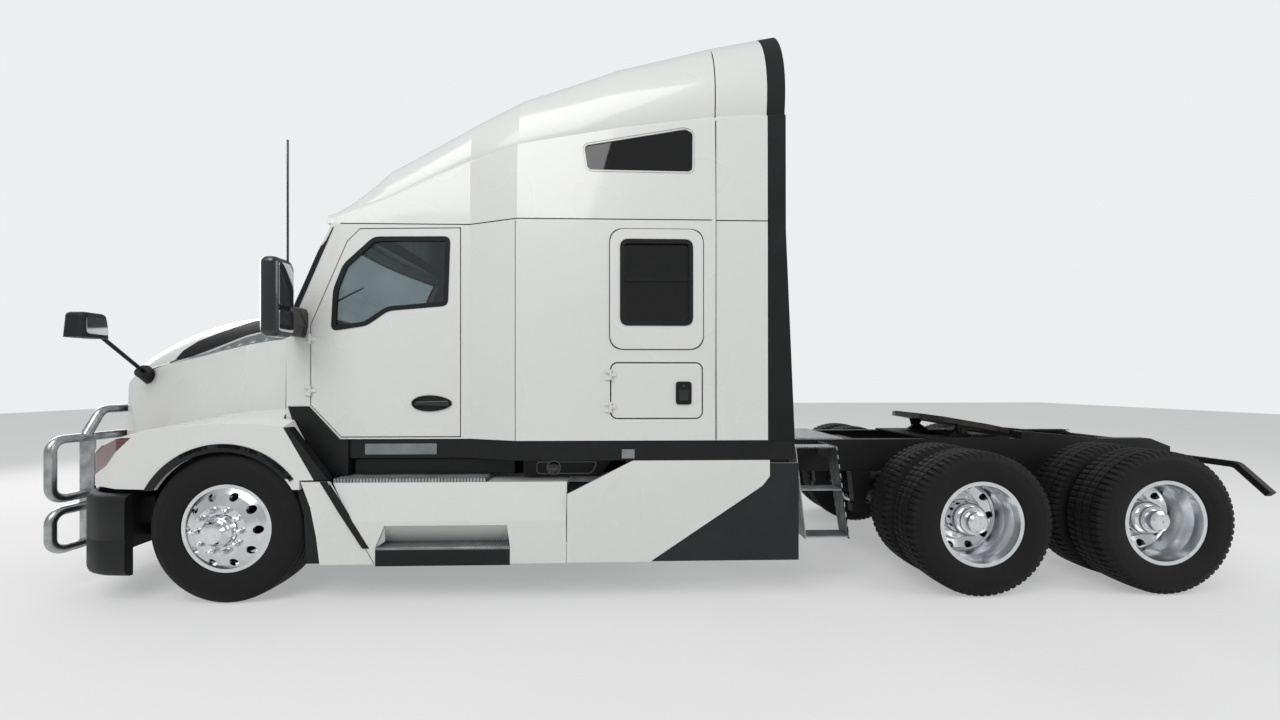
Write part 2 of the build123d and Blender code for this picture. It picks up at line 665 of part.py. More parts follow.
DOOR_HINGE_AT = DOOR[0][0] + SHUT / 2
cab_solid = greenhouse(0) + lower_cab(0, 0)
cab_wall = cab_solid - greenhouse(BODY_WALL, CAB_REAR_AT + 1) - lower_cab(BODY_WALL, BODY_WALL, CAB_REAR_AT + 1)
with BuildSketch(station(0)) as windshield_sketch:
    Polygon(*WINDSHIELD, align=None)
windshield_prism = extrude(windshield_sketch.sketch, amount=640)
with BuildPart() as cab_shell:
    add(cab_wall)
    add(both_sides(DOOR, CAB_HALF - BODY_WALL - DOOR_BACK, CAB_HALF + 1), mode=Mode.SUBTRACT)
    add(windshield_prism, mode=Mode.SUBTRACT)
    door_hinges = hinge(DOOR_HINGE_AT, CAB_HALF, DOOR_HINGES_Z, moving=False)
    add(door_hinges)
    add(mirror(door_hinges, about=Plane.XZ, mode=Mode.PRIVATE))
save(cab_shell, "cab_shell")

# Doors, the whole thickness of the wall, with the glass set in each
door_leaf = inset_corners(DOOR, SHUT)
for name, hand in SIDES:
    with BuildPart() as door:
        add(prism(door_leaf, CAB_HALF - BODY_WALL, CAB_HALF))
        add(prism(DOOR_GLASS, CAB_HALF - BODY_WALL - 1, CAB_HALF + 1, DOOR_GLASS_R), mode=Mode.SUBTRACT)
        add(hinge(DOOR_HINGE_AT, CAB_HALF, DOOR_HINGES_Z, moving=True))
    with BuildPart() as pane:
        add(prism(DOOR_GLASS, CAB_HALF - GLASS_SINK - GLASS_T, CAB_HALF - GLASS_SINK, DOOR_GLASS_R))
    if hand == 1:
        door.part = mirror(door.part, about=Plane.XZ)
        pane.part = mirror(pane.part, about=Plane.XZ)
    save(door, f"door_{name}")
    save(pane, f"door_glass_{name}")

# Sleeper shell: flares out from the cab, with a floor and a rear wall; open forwards and up into the roof


def sleeper_plan(inset, front_at, rear_at, height):
    with BuildSketch(level(height)) as plan:
        front = [(front_at, CAB_HALF - inset)] if front_at < CAB_REAR_AT else []
        right = [
            *front, (CAB_REAR_AT, CAB_HALF - inset), (FLARE_END_AT, SLEEPER_HALF - inset),
            (rear_at, SLEEPER_HALF - inset),
        ]
        Polygon(*right, *[(x, -y) for x, y in right[::-1]], align=None)
    return plan.sketch


BEZEL_RISE = 8
BAGGAGE_HINGE_AT = BAGGAGE_DOOR[0][0] + BAGGAGE_SHUT / 2
with BuildPart() as sleeper_shell:
    add(sleeper_plan(0, CAB_REAR_AT, SLEEPER_REAR_AT, BODY_Z))
    extrude(amount=SEAM_Z - BODY_Z)
    add(sleeper_plan(BODY_WALL, CAB_REAR_AT - 1, SLEEPER_REAR_AT - BODY_WALL, BODY_Z + BODY_WALL))
    extrude(amount=SEAM_Z - BODY_Z, mode=Mode.SUBTRACT)
    add(both_sides(BEZEL, SLEEPER_HALF - 1, SLEEPER_HALF + BEZEL_RISE, BEZEL_R))
    for corners, radius in ((BAGGAGE_DOOR, BAGGAGE_R), (SLEEPER_WINDOW, WINDOW_R)):
        opening = both_sides(corners, SLEEPER_HALF - BODY_WALL - 1, SLEEPER_HALF + BEZEL_RISE + 1, radius)
        add(opening, mode=Mode.SUBTRACT)
    baggage_hinges = hinge(BAGGAGE_HINGE_AT, SLEEPER_HALF, BAGGAGE_HINGES_Z, moving=False)
    add(baggage_hinges)
    add(mirror(baggage_hinges, about=Plane.XZ, mode=Mode.PRIVATE))
save(sleeper_shell, "sleeper_shell")

baggage_leaf = inset_corners(BAGGAGE_DOOR, BAGGAGE_SHUT)
for name, hand in SIDES:
    with BuildPart() as door:
        add(prism(baggage_leaf, SLEEPER_HALF - BODY_WALL, SLEEPER_HALF, BAGGAGE_R - BAGGAGE_SHUT))
        add(hinge(BAGGAGE_HINGE_AT, SLEEPER_HALF, BAGGAGE_HINGES_Z, moving=True))
    if hand == 1:
        door.part = mirror(door.part, about=Plane.XZ)
    save(door, f"baggage_door_{name}")

# High roof over cab and sleeper, with its side windows; its front follows the bowed windshield header


def roof_body(inset, rear_at, foot, first=0):
    rows = [moved(ROOF[first], ROOF[first][0] + inset), *ROOF[first + 1:6], moved(ROOF[6], rear_at)]
    body = crown_body(rows, inset, foot)
    plan = cab_plan(HEADER_CORNER_AT + inset, HEADER_NOSE_AT + inset, SLEEPER_HALF, rear_at + 1, foot - 1)
    return body & extrude(plan, amount=2000, mode=Mode.PRIVATE)


roof_outside = roof_body(0, SLEEPER_REAR_AT, SEAM_Z)
with BuildPart() as roof:
    add(roof_outside)
    add(roof_body(BODY_WALL, SLEEPER_REAR_AT - BODY_WALL, SEAM_Z - 10, first=1), mode=Mode.SUBTRACT)
    add(both_sides(ROOF_WINDOW, 1000, SLEEPER_HALF, ROOF_WINDOW_R), mode=Mode.SUBTRACT)
save(roof, "roof")

# Side extenders behind the sleeper, closed over the top, and their rubber edge


def hoop(rows, wall, foot):
    outer = crown_body(rows, 0, foot)
    first, last = rows[0], rows[-1]
    inner = crown_body([moved(first, first[0] - 1), moved(last, last[0] + 1)], wall, foot - 10)
    return outer - inner


with BuildPart() as extenders:
    add(hoop([ROOF[6], ROOF[7]], EXTENDER_WALL, BODY_Z))
save(extenders, "extenders")
with BuildPart() as extender_edges:
    add(hoop([ROOF[7], ROOF[8]], RUBBER_WALL, BODY_Z))
    with BuildSketch(side()):
        Polygon(
            (RUBBER_REAR_AT, BODY_Z - 1), (RUBBER_REAR_AT + 1, BODY_Z - 1),
            (RUBBER_REAR_AT + 1, RUBBER_CUT_Z),
            (RUBBER_TOP_AT, RUBBER_CUT_Z), (RUBBER_TOP_AT, RUBBER_BEND_Z), align=None,
        )
    extrude(amount=SLEEPER_HALF + 1, both=True, mode=Mode.SUBTRACT)
save(extender_edges, "extender_edges")

# Glass that does not move with a door: windshield, sleeper windows and roof windows
with BuildPart() as cab_glass:
    add((greenhouse(GLASS_SINK) - greenhouse(GLASS_SINK + GLASS_T, CAB_REAR_AT + 1)) & windshield_prism)
    add(both_sides(SLEEPER_WINDOW, SLEEPER_HALF - GLASS_SINK - GLASS_T, SLEEPER_HALF - GLASS_SINK, WINDOW_R))
    pane = roof_body(GLASS_SINK, SLEEPER_REAR_AT, SEAM_Z)
    pane -= roof_body(GLASS_SINK + GLASS_T, SLEEPER_REAR_AT + 1, SEAM_Z - 1)
    add(pane & both_sides(ROOF_WINDOW, 1000, SLEEPER_HALF, ROOF_WINDOW_R))
save(cab_glass, "cab_glass")

# Hood: nose body and fenders as one skin, open below and behind


def fenders(inset):
    """Both fenders as a block, cut to their plan: a side outline that climbs inwards to the hood's side."""
    front = [(at + (inset if at < -900 else 0), z - inset) for at, z in FENDER_TOP[1:-1]]
    foot = HOOD_FOOT_Z - 2 * inset
    outer = [(front[0][0], foot), *front, (front[-1][0], foot)]
    inner = []
    for at, z in outer:
        share = (at - FLARE_FROM_AT) / (FLARE_TO_AT - FLARE_FROM_AT)
        on_top = z > FENDER_REAR_TOP[1] - 2 * HOOD_WALL
        inner.append((at, z + FLARE_RISE * min(max(share, 0), 1) if on_top else z))
    with BuildPart() as left:
        add(prism(inner, 300, FLARE_IN_Y))
        with BuildSketch(side(FLARE_IN_Y)):
            Polygon(*inner, align=None)
        with BuildSketch(side(FENDER_HALF)):
            Polygon(*outer, align=None)
        loft(ruled=True)
    block = left.part + mirror(left.part, about=Plane.XZ, mode=Mode.PRIVATE)
    with BuildSketch(level(foot - 1)) as plan:
        for hand in (-1, 1):
            Polygon(
                *[(at + (inset if at < -700 else 0), hand * max(y - inset, 0)) for at, y in FENDER_PLAN],
                align=None,
            )
    return block & extrude(plan.sketch, amount=900, mode=Mode.PRIVATE)


LIP_Y = CAB_HALF + 15
HOOD_ARM_IN, HOOD_ARM_OUT = 290, 334
ARM_ARC_IN, ARM_ARC_OUT = 118, 150
ARM_EYE_R = 32
hood_rows_inside = [moved(HOOD[0], HOOD[0][0] + HOOD_WALL), *HOOD[1:], moved(HOOD[-1], HOOD[-1][0] + 20)]
behind_hood = extrude(
    cab_plan(COWL_CORNER_AT - COWL_GAP, COWL_NOSE_AT - COWL_GAP, LIP_Y, 900, 0), amount=3000
)
hood_outside = crown_body(HOOD, 0, HOOD_FOOT_Z, ruled=False)
hood_outside_all = (hood_outside + fenders(0)) - behind_hood
lamp_area = both_sides(LAMP, 560, FENDER_HALF)

# Hinge arms: each curves over the bumper's top edge, from the nose's foot back to its pin in the frame
with BuildPart() as hood_arms:
    with BuildSketch(side(HOOD_ARM_IN)):
        with Locations((HOOD_PIVOT_AT, HOOD_PIVOT_Z)):
            Circle(ARM_ARC_OUT)
            Circle(ARM_ARC_IN, mode=Mode.SUBTRACT)
            Polygon(
                (-100, 88), (-100, 200), (200, 200), (200, 20), (0, 0), (0, 88),
                align=None, mode=Mode.INTERSECT,
            )
            Circle(ARM_EYE_R)
            Polygon((5, 31), (130, 75), (146, 30), (12, -29), align=None)
    extrude(amount=HOOD_ARM_OUT - HOOD_ARM_IN)
    with BuildSketch(side(HOOD_ARM_OUT)):
        with Locations((HOOD_PIVOT_AT, HOOD_PIVOT_Z)):
            Circle(HOOD_PIN_R)
    extrude(amount=RAIL_OUT - HOOD_ARM_OUT)
    mirror(about=Plane.XZ)

with BuildPart() as hood:
    add(hood_outside_all)
    add(crown_body(hood_rows_inside, HOOD_WALL, HOOD_FOOT_Z - 50, ruled=False), mode=Mode.SUBTRACT)
    add(fenders(HOOD_WALL), mode=Mode.SUBTRACT)
    for radius, half in ((HOUSING_R, ARCH_SKIN_Y), (ARCH_R, FENDER_HALF + 1)):
        with BuildSketch(side()):
            with Locations((0, AXLE_Z)):
                Circle(radius)
        extrude(amount=half, both=True, mode=Mode.SUBTRACT)
    with BuildSketch(station(HOOD[0][0] - 1)):
        Polygon(*GRILLE, align=None)
    extrude(amount=HOOD_WALL + 2, mode=Mode.SUBTRACT)
    add(lamp_area, mode=Mode.SUBTRACT)
    add(hood_arms)
save(hood, "hood")

# Grille: a frame in the nose opening with slats across it
GRILLE_BORDER = 26
SLAT_PITCH = 62
SLAT_H = 22
with BuildPart() as grille:
    with BuildSketch(station(HOOD[0][0] + 4)):
        Polygon(*GRILLE, align=None)
        offset(amount=-GRILLE_BORDER, kind=Kind.INTERSECTION, mode=Mode.SUBTRACT)
    extrude(amount=HOOD_WALL - 4)
    with BuildSketch(station(HOOD[0][0] + 10)):
        for z in range(GRILLE[0][1] + SLAT_PITCH, GRILLE[3][1], SLAT_PITCH):
            with Locations((0, z)):
                Rectangle(900, SLAT_H)
        with Locations((0, 1100)):
            Rectangle(16, 900)
        Polygon(*GRILLE, align=None, mode=Mode.INTERSECT)
    extrude(amount=14)
save(grille, "grille")

with BuildPart() as headlamps:
    add((fenders(3) - fenders(HOOD_WALL - 3)) & lamp_area)
save(headlamps, "headlamps")

# Hood mirrors on their arms
MIRROR_ARM_R = 13
MIRROR_DRUM_R, MIRROR_DRUM_REACH = 52, 175
with BuildPart() as hood_mirrors:
    with BuildSketch(level(1790)):
        with Locations((-845, -1225)):
            RectangleRounded(150, 180, 45)
    extrude(amount=165, taper=4)
    fillet(hood_mirrors.edges().group_by(Axis.Z)[-1], 30)
    foot = Vector(FRONT_AXLE_X - 985, -600, 1495)
    elbow = Vector(FRONT_AXLE_X - 850, -1185, 1850)
    with BuildSketch(Plane(origin=foot, z_dir=elbow - foot)):
        Circle(MIRROR_ARM_R)
    extrude(amount=(elbow - foot).length)
    with BuildSketch(Plane(origin=foot, z_dir=elbow - foot)):
        Circle(MIRROR_DRUM_R)
    extrude(amount=MIRROR_DRUM_REACH)
    add(hood_outside, mode=Mode.SUBTRACT)
    mirror(about=Plane.XZ)

# Dark trim on the hood: side intakes, mouldings round the wheel arches, a strip on each fender's rear edge
TRIM_RISE = 6
TRIM_W = 46
STRIP_IN, STRIP_OUT = 1120, 1186
with BuildPart() as hood_trims:
    add(hood_mirrors)
    intake_skin = crown_body(HOOD, -TRIM_RISE, HOOD_FOOT_Z, ruled=False) - hood_outside
    add((intake_skin & both_sides(INTAKE, 500, 1060)) - behind_hood)
    with BuildSketch(side(FENDER_HALF)):
        with Locations((0, AXLE_Z)):
            Circle(ARCH_R + TRIM_W)
            Circle(ARCH_R - 6, mode=Mode.SUBTRACT)
        Polygon(
            (-625, 775), (-625, 1150), (520, 1150), (500, 850), (0, 850), (0, 775),
            align=None, mode=Mode.INTERSECT,
        )
    arch_faces = extrude(amount=TRIM_RISE, mode=Mode.PRIVATE)
    add(arch_faces)
    add(mirror(arch_faces, about=Plane.XZ, mode=Mode.PRIVATE))
    strip = [FENDER_REAR_TOP, (428, 1192), (690, 838), FENDER_REAR_FOOT]
    add(both_sides(strip, STRIP_IN, STRIP_OUT) - hood_outside_all)
save(hood_trims, "hood_trims")

# Bumper: bowed shell with slots for the guard's arms and flat seats on its brackets
with BuildPart() as bumper:
    for inset, mode in ((0, Mode.ADD), (BUMPER_WALL, Mode.SUBTRACT)):
        with BuildSketch(level(BUMPER_LOW)):
            for hand in (-1, 1):
                Polygon(
                    *[(at + (inset if at < -660 else 0), hand * max(y - inset, 0)) for at, y in BUMPER_PLAN],
                    align=None,
                )
        extrude(amount=BUMPER_TOP - BUMPER_LOW, mode=mode)
    slot = [(-1300, 215), (-1150, 215), (-1150, 345), (-1300, 345)]
    add(both_sides(slot, GUARD_ARM_Y - 30, GUARD_ARM_Y + 30), mode=Mode.SUBTRACT)
    seat = [
        (BUMPER_FACE_AT, 560), (BUMPER_FACE_AT + 20, 560),
        (BUMPER_FACE_AT + 20, BUMPER_TOP + 1), (BUMPER_FACE_AT, BUMPER_TOP + 1),
    ]
    add(both_sides(seat, RAIL_OUT - 82, RAIL_OUT - RAIL_WEB), mode=Mode.SUBTRACT)
save(bumper, "bumper")

# Guard: bent tubes and plates in front of the nose, turning on its lowest tube
GUARD_WING_Y = 925
GUARD_TOP_Z = 1286
WINGS = [(1080, 650), (560, GUARD_LOW_Z)]
with BuildPart() as guard:
    guard_plane = station(GUARD_AT)
    tubes = [
        ([(-GUARD_PLATE_Y, 1080), (GUARD_PLATE_Y, 1080)], 0),
        ([(-GUARD_PLATE_Y, 605), (GUARD_PLATE_Y, 605)], 0),
        ([(-GUARD_PLATE_Y, GUARD_LOW_Z), (GUARD_PLATE_Y, GUARD_LOW_Z)], 0),
        ([(-GUARD_PLATE_Y, 1080), (-590, GUARD_TOP_Z), (590, GUARD_TOP_Z), (GUARD_PLATE_Y, 1080)], 90),
        ([(-240, GUARD_LOW_Z), (-240, GUARD_TOP_Z)], 0),
        ([(240, GUARD_LOW_Z), (240, GUARD_TOP_Z)], 0),
    ]
    for hand in (-1, 1):
        for high, low in WINGS:
            points = [(GUARD_PLATE_Y, high), (GUARD_WING_Y, high), (GUARD_WING_Y, low), (GUARD_PLATE_Y, low)]
            tubes.append(([(hand * y, z) for y, z in points], 85))
    for points, bend in tubes:
        with BuildLine(guard_plane) as run:
            if bend:
                FilletPolyline(*points, radius=bend)
            else:
                Line(*points)
        with BuildSketch(Plane(origin=run.line @ 0, z_dir=run.line % 0)):
            Circle(GUARD_R)
        sweep()
    plate = [(GUARD_AT - GUARD_R, 300), (GUARD_AT - GUARD_R, 1100), (-1345, 1100), (-1345, 560), (-1400, 300)]
    add(both_sides(plate, GUARD_PLATE_Y - GUARD_PLATE_T / 2, GUARD_PLATE_Y + GUARD_PLATE_T / 2))
save(guard, "guard")

# Black sills under the cab and sleeper, with the dark panel ahead of each door
SILL_LOW = 965
SILL_SINK = 6
with BuildPart() as cab_sills:
    add(sleeper_plan(SILL_SINK, 700, RUBBER_REAR_AT, SILL_LOW))
    extrude(amount=BODY_Z - SILL_LOW)
    add(sleeper_plan(SILL_SINK + 55, 699, RUBBER_REAR_AT + 1, SILL_LOW - 1))
    extrude(amount=BODY_Z - SILL_LOW + 2, mode=Mode.SUBTRACT)
    dark_panel = [(345, 1330), (488, 1330), (698, 1103), (698, 850), (640, 850), (520, 1000), (400, 1160)]
    add(both_sides(dark_panel, CAB_HALF, CAB_HALF + 8))
    sill_end = [(520, 1000), (640, 850), (760, 850), (760, BODY_Z), (520, BODY_Z)]
    add(both_sides(sill_end, CAB_HALF - 40, CAB_HALF + 8))

# White fairings: the piece behind the wheel, the stepped panel and the rear panel
STEP_FROM_AT, STEP_TO_AT = 700, 2293
SPLASH_Y, SPLASH_T = 1165, 15
LEDGE_Z = FAIRING_TOP - FAIRING_WALL
LOW_STEP_FROM_AT, LOW_STEP_TO_AT = 1012, 1914
with BuildPart() as side_fairings:
    with BuildSketch(station(STEP_FROM_AT)):
        Polygon(
            (-900, FAIRING_TOP), (-1150, FAIRING_TOP), (-FAIRING_HALF, 560), (-FAIRING_HALF, FAIRING_LOW),
            (FAIRING_WALL - FAIRING_HALF, FAIRING_LOW), (FAIRING_WALL - FAIRING_HALF, 556),
            (FAIRING_WALL - 1153, LEDGE_Z), (-900, LEDGE_Z),
            align=None,
        )
    extrude(amount=STEP_TO_AT - STEP_FROM_AT)
    with BuildSketch(side(1100)):
        Polygon((690, 812.5), (705, 812.5), (1014, FAIRING_LOW - 1), (690, FAIRING_LOW - 1), align=None)
        Polygon(
            (LOW_STEP_FROM_AT, FAIRING_LOW - 1), (LOW_STEP_TO_AT, FAIRING_LOW - 1),
            (LOW_STEP_TO_AT, LOW_STEP_Z),
            (LOW_STEP_TO_AT - 20, 530), (LOW_STEP_FROM_AT + 60, 530), (LOW_STEP_FROM_AT, LOW_STEP_Z),
            align=None,
        )
    extrude(amount=120, mode=Mode.SUBTRACT)
    behind_wheel = [
        (516, 826), (694, 826), (1000, FAIRING_LOW), (640, FAIRING_LOW), (617, 455), (578, 655),
    ]
    add(prism(behind_wheel, SPLASH_Y, 1192))
    rear_panel = [(2300, 270), (2865, 270), (3640, 785), (3692, 850), (3692, 962), (2749, 962), (2300, 735)]
    add(prism(rear_panel, FAIRING_HALF - FAIRING_WALL, FAIRING_HALF))
    mirror(about=Plane.XZ)
save(side_fairings, "side_fairings")

with BuildPart() as dark_skirts:
    add(cab_sills)
    skirt = [(2880, 272), (3894, 272), (3894, 940), (3700, 940), (3700, 846), (3646, 780)]
    add(both_sides(skirt, 1170, 1195))
    splash = [
        (512, 826), (550, 826), (640, 655), (680, 455), (700, FAIRING_LOW), (532, FAIRING_LOW), (527, 455),
        (520, 600), (492, 700), (474, HOOD_FOOT_Z - 7), (512, HOOD_FOOT_Z - 7),
    ]
    add(both_sides(splash, SPLASH_Y - SPLASH_T, SPLASH_Y))
save(dark_skirts, "dark_skirts")

# Steps into the cab: the upper tread and the lower step unit on each side
with BuildPart() as cab_steps:
    add(prism([(706, FAIRING_TOP), (1740, FAIRING_TOP), (1740, STEP_Z), (706, STEP_Z)], 905, 1150))
    low_step = [
        (LOW_STEP_FROM_AT + 1, 258), (LOW_STEP_TO_AT - 1, 258), (LOW_STEP_TO_AT - 1, LOW_STEP_Z),
        (LOW_STEP_FROM_AT + 1, LOW_STEP_Z),
    ]
    add(prism(low_step, 1060, FAIRING_HALF))
    liner = [(1015, LOW_STEP_Z), (1905, LOW_STEP_Z), (1905, LEDGE_Z), (1015, LEDGE_Z)]
    add(prism(liner, 1060, 1072))
    mirror(about=Plane.XZ)

# Deck behind the sleeper and the ladder steps below it
DECK_FROM_AT, DECK_TO_AT = 3900, 4560
DECK_T = 12
with BuildPart() as steps:
    add(cab_steps)
    with BuildSketch(level(RAIL_TOP)):
        with Locations(((DECK_FROM_AT + DECK_TO_AT) / 2, 0)):
            Rectangle(DECK_TO_AT - DECK_FROM_AT, 2 * RAIL_OUT)
    extrude(amount=DECK_T)
    ladder = [(-RAIL_OUT, 998), (-800, 998), (-1010, 352), (-850, 352), (-650, 880), (-RAIL_OUT, 880)]
    for at in (4010, 4330):
        with BuildSketch(station(at)):
            Polygon(*ladder, align=None)
            Polygon(*[(-y, z) for y, z in ladder], align=None)
        extrude(amount=8)
    for z, y in ((360, 925), (680, 820), (985, 700)):
        with BuildSketch(level(z)):
            with Locations((4174, y), (4174, -y)):
                Rectangle(320, 150)
        extrude(amount=10)
save(steps, "steps_and_deck")

# Fifth wheel: mounting plate and brackets, ramps behind, and the tilting top plate with its kingpin jaw
FIFTH_PIVOT_Z = 1080
FIFTH_PIN_R = 20
FIFTH_BRACKET_IN, FIFTH_BRACKET_OUT = 290, 325
FIFTH_EAR_OUT = 356
with BuildPart() as fifth_wheel_base:
    with BuildSketch(level(RAIL_TOP)):
        with Locations((FIFTH_AT, 0)):
            Rectangle(720, 2 * RAIL_OUT)
            Rectangle(420, 380, mode=Mode.SUBTRACT)
    extrude(amount=14)
    bracket = [
        (FIFTH_AT - 110, RAIL_TOP + 14), (FIFTH_AT + 110, RAIL_TOP + 14), (FIFTH_AT + 24, FIFTH_PIVOT_Z),
        (FIFTH_AT + 16, FIFTH_PIVOT_Z + 24), (FIFTH_AT - 16, FIFTH_PIVOT_Z + 24),
        (FIFTH_AT - 24, FIFTH_PIVOT_Z),
    ]
    add(both_sides(bracket, FIFTH_BRACKET_IN, FIFTH_BRACKET_OUT))
    ramp = [(6110, RAIL_TOP), (6781, RAIL_TOP), (6781, 1016), (6120, 1076), (6110, 1070)]
    add(both_sides(ramp, RAIL_OUT - 90, RAIL_OUT))
    with BuildSketch(side()):
        with Locations((FIFTH_AT, FIFTH_PIVOT_Z)):
            Circle(FIFTH_PIN_R + RUN)
    extrude(amount=RAIL_OUT, both=True, mode=Mode.SUBTRACT)
save(fifth_wheel_base, "fifth_wheel_base")

tilt = math.radians(FIFTH_TILT)
fifth_plane = Plane(
    origin=(FRONT_AXLE_X + FIFTH_AT, 0, FIFTH_PIVOT_Z),
    x_dir=(math.cos(tilt), 0, -math.sin(tilt)),
    z_dir=(math.sin(tilt), 0, math.cos(tilt)),
)
FIFTH_RISE = FIFTH_Z - FIFTH_PIVOT_Z
with BuildPart() as fifth_wheel_plate:
    half = [(-300, 200), (-215, 400), (120, 457), (437, 330), (437, 150), (110, 32)]
    with BuildSketch(fifth_plane.offset(FIFTH_RISE - FIFTH_T)):
        Polygon(*half, *[(x, -y) for x, y in half[::-1]], align=None)
        Circle(KINGPIN_R, mode=Mode.SUBTRACT)
    extrude(amount=FIFTH_T)
    ear_plane = Plane(origin=fifth_plane.origin, x_dir=fifth_plane.x_dir, z_dir=(0, -1, 0))
    for hand in (-1, 1):
        with BuildSketch(ear_plane.offset(hand * (FIFTH_BRACKET_OUT + RUN))):
            Polygon((-60, 42), (60, 42), (30, -16), (16, -30), (-16, -30), (-30, -16), align=None)
        extrude(amount=hand * (FIFTH_EAR_OUT - FIFTH_BRACKET_OUT - RUN))
        with BuildSketch(ear_plane.offset(hand * FIFTH_BRACKET_IN)):
            Circle(FIFTH_PIN_R)
        extrude(amount=hand * (FIFTH_EAR_OUT + 14 - FIFTH_BRACKET_IN))
save(fifth_wheel_plate, "fifth_wheel_plate")

# Inside the cab: dashboard with steering wheel, seats, bunk
CAB_FLOOR_Z = BODY_Z + BODY_WALL
WHEEL_TILT = 30
with BuildPart() as dashboard:
    with BuildSketch(side()):
        Polygon((470, 1500), (640, 1540), (740, 1700), (720, 1850), (620, 1925), (450, 1925), align=None)
    extrude(amount=960, both=True)
    with BuildSketch(side()):
        Polygon((470, CAB_FLOOR_Z), (640, CAB_FLOOR_Z), (640, 1541), (470, 1541), align=None)
    extrude(amount=260, both=True)
    hub_point = Vector(FRONT_AXLE_X + 860, -520, 1830)
    lean = math.radians(WHEEL_TILT)
    wheel_plane = Plane(origin=hub_point, x_dir=(0, 1, 0), z_dir=(math.cos(lean), 0, math.sin(lean)))
    with BuildSketch(wheel_plane):
        Circle(242)
        Circle(206, mode=Mode.SUBTRACT)
        for angle in (0, 120, 240):
            with Locations((0, 0)):
                Rectangle(36, 212, rotation=angle, align=(Align.CENTER, Align.MIN))
        Circle(60)
    extrude(amount=30)
    with BuildSketch(wheel_plane):
        Circle(32)
    extrude(amount=-150)
save(dashboard, "dashboard")

with BuildPart() as seats:
    for y in (-520, 520):
        with BuildSketch(side(-y - 250)):
            Polygon((1120, CAB_FLOOR_Z), (1480, CAB_FLOOR_Z), (1480, 1500), (1120, 1500), align=None)
            Polygon((1010, 1500), (1540, 1500), (1540, 1640), (1040, 1670), (1010, 1640), align=None)
            Polygon((1440, 1600), (1560, 1600), (1700, 2330), (1590, 2340), align=None)
        extrude(amount=500)
    with BuildSketch(side()):
        Polygon(
            (2350, 1650), (SLEEPER_REAR_AT - BODY_WALL, 1650), (SLEEPER_REAR_AT - BODY_WALL, 1690),
            (2350, 1690),
            align=None,
        )
    extrude(amount=SLEEPER_HALF - BODY_WALL, both=True)
    with BuildSketch(level(1690)):
        with Locations((2810, 0)):
            RectangleRounded(880, 2 * SLEEPER_HALF - 2 * BODY_WALL - 60, 60)
    extrude(amount=170)
save(seats, "seats_and_bunk")

# Cab mirrors at the windshield corners, each with a whip aerial
MIRROR_IN, MIRROR_OUT = 1235, 1420
MIRROR_LOW, MIRROR_TOP = 1788, 2296
with BuildPart() as cab_mirrors:
    with BuildSketch(level(MIRROR_LOW)):
        with Locations((454, -(MIRROR_IN + MIRROR_OUT) / 2)):
            RectangleRounded(120, MIRROR_OUT - MIRROR_IN, 50)
    extrude(amount=MIRROR_TOP - MIRROR_LOW)
    fillet(cab_mirrors.edges().group_by(Axis.Z)[-1], 40)
    fillet(cab_mirrors.edges().group_by(Axis.Z)[0], 40)
    add(prism([(400, 1880), (480, 1880), (480, 1985), (400, 1985)], CAB_HALF, MIRROR_IN + 20))
    with BuildSketch(level(MIRROR_TOP - 20)):
        with Locations((505, -1300)):
            Circle(7)
    extrude(amount=3072 - MIRROR_TOP + 20)
    mirror(about=Plane.XZ)
save(cab_mirrors, "cab_mirrors")
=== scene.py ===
import math

import bpy
from mathutils import Matrix, Vector
from mathutils.bvhtree import BVHTree
from mathutils.geometry import delaunay_2d_cdt


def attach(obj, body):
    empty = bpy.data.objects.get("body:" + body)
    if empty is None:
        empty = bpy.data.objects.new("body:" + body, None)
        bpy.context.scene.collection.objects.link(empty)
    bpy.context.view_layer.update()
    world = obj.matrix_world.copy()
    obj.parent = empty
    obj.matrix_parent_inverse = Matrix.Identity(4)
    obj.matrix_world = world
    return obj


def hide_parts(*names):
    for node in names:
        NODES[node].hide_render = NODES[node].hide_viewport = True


# Looks for a road tractor with a high-roof sleeper cab.  Metres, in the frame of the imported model:
# nose towards -X, driver's side towards -Y, +Z up.  Places along the vehicle count back from the front axle.

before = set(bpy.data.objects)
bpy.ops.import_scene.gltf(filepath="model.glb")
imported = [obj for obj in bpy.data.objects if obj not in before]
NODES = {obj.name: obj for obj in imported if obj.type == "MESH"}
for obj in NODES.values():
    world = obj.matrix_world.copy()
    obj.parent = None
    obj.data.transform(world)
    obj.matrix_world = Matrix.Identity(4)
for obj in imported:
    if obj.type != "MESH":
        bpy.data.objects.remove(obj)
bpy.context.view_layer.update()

FRONT_AXLE_X = -2.991
AXLE_Z = 0.508
DRIVE_AXLES = (5.180, 6.500)
CAB_HALF = 1.060
SLEEPER_HALF = 1.200
SIDES = (("left", -1), ("right", 1))

# Where one finish passes into the next, behind the front axle or above the ground
PANEL_FRONT, PANEL_TOP = 2.85, 0.962
SLEEPER_FRONT = 1.7
CLEAR_END, RED_START = -1.06, -1.0


def at(behind):
    """Place along X of a distance behind the front axle."""
    return FRONT_AXLE_X + behind


def stripes(width):
    """Scale of a wave texture whose light and dark bands are each about width millimetres across."""
    return 1000 / (6.28 * width)


# Camera at the photograph's place: level, at the driver's side, a little behind the cab's middle

PHOTO_WIDTH = 1280
FOCAL_PIXELS = 481
HORIZON_PIXELS = 22
SENSOR_WIDTH = 36

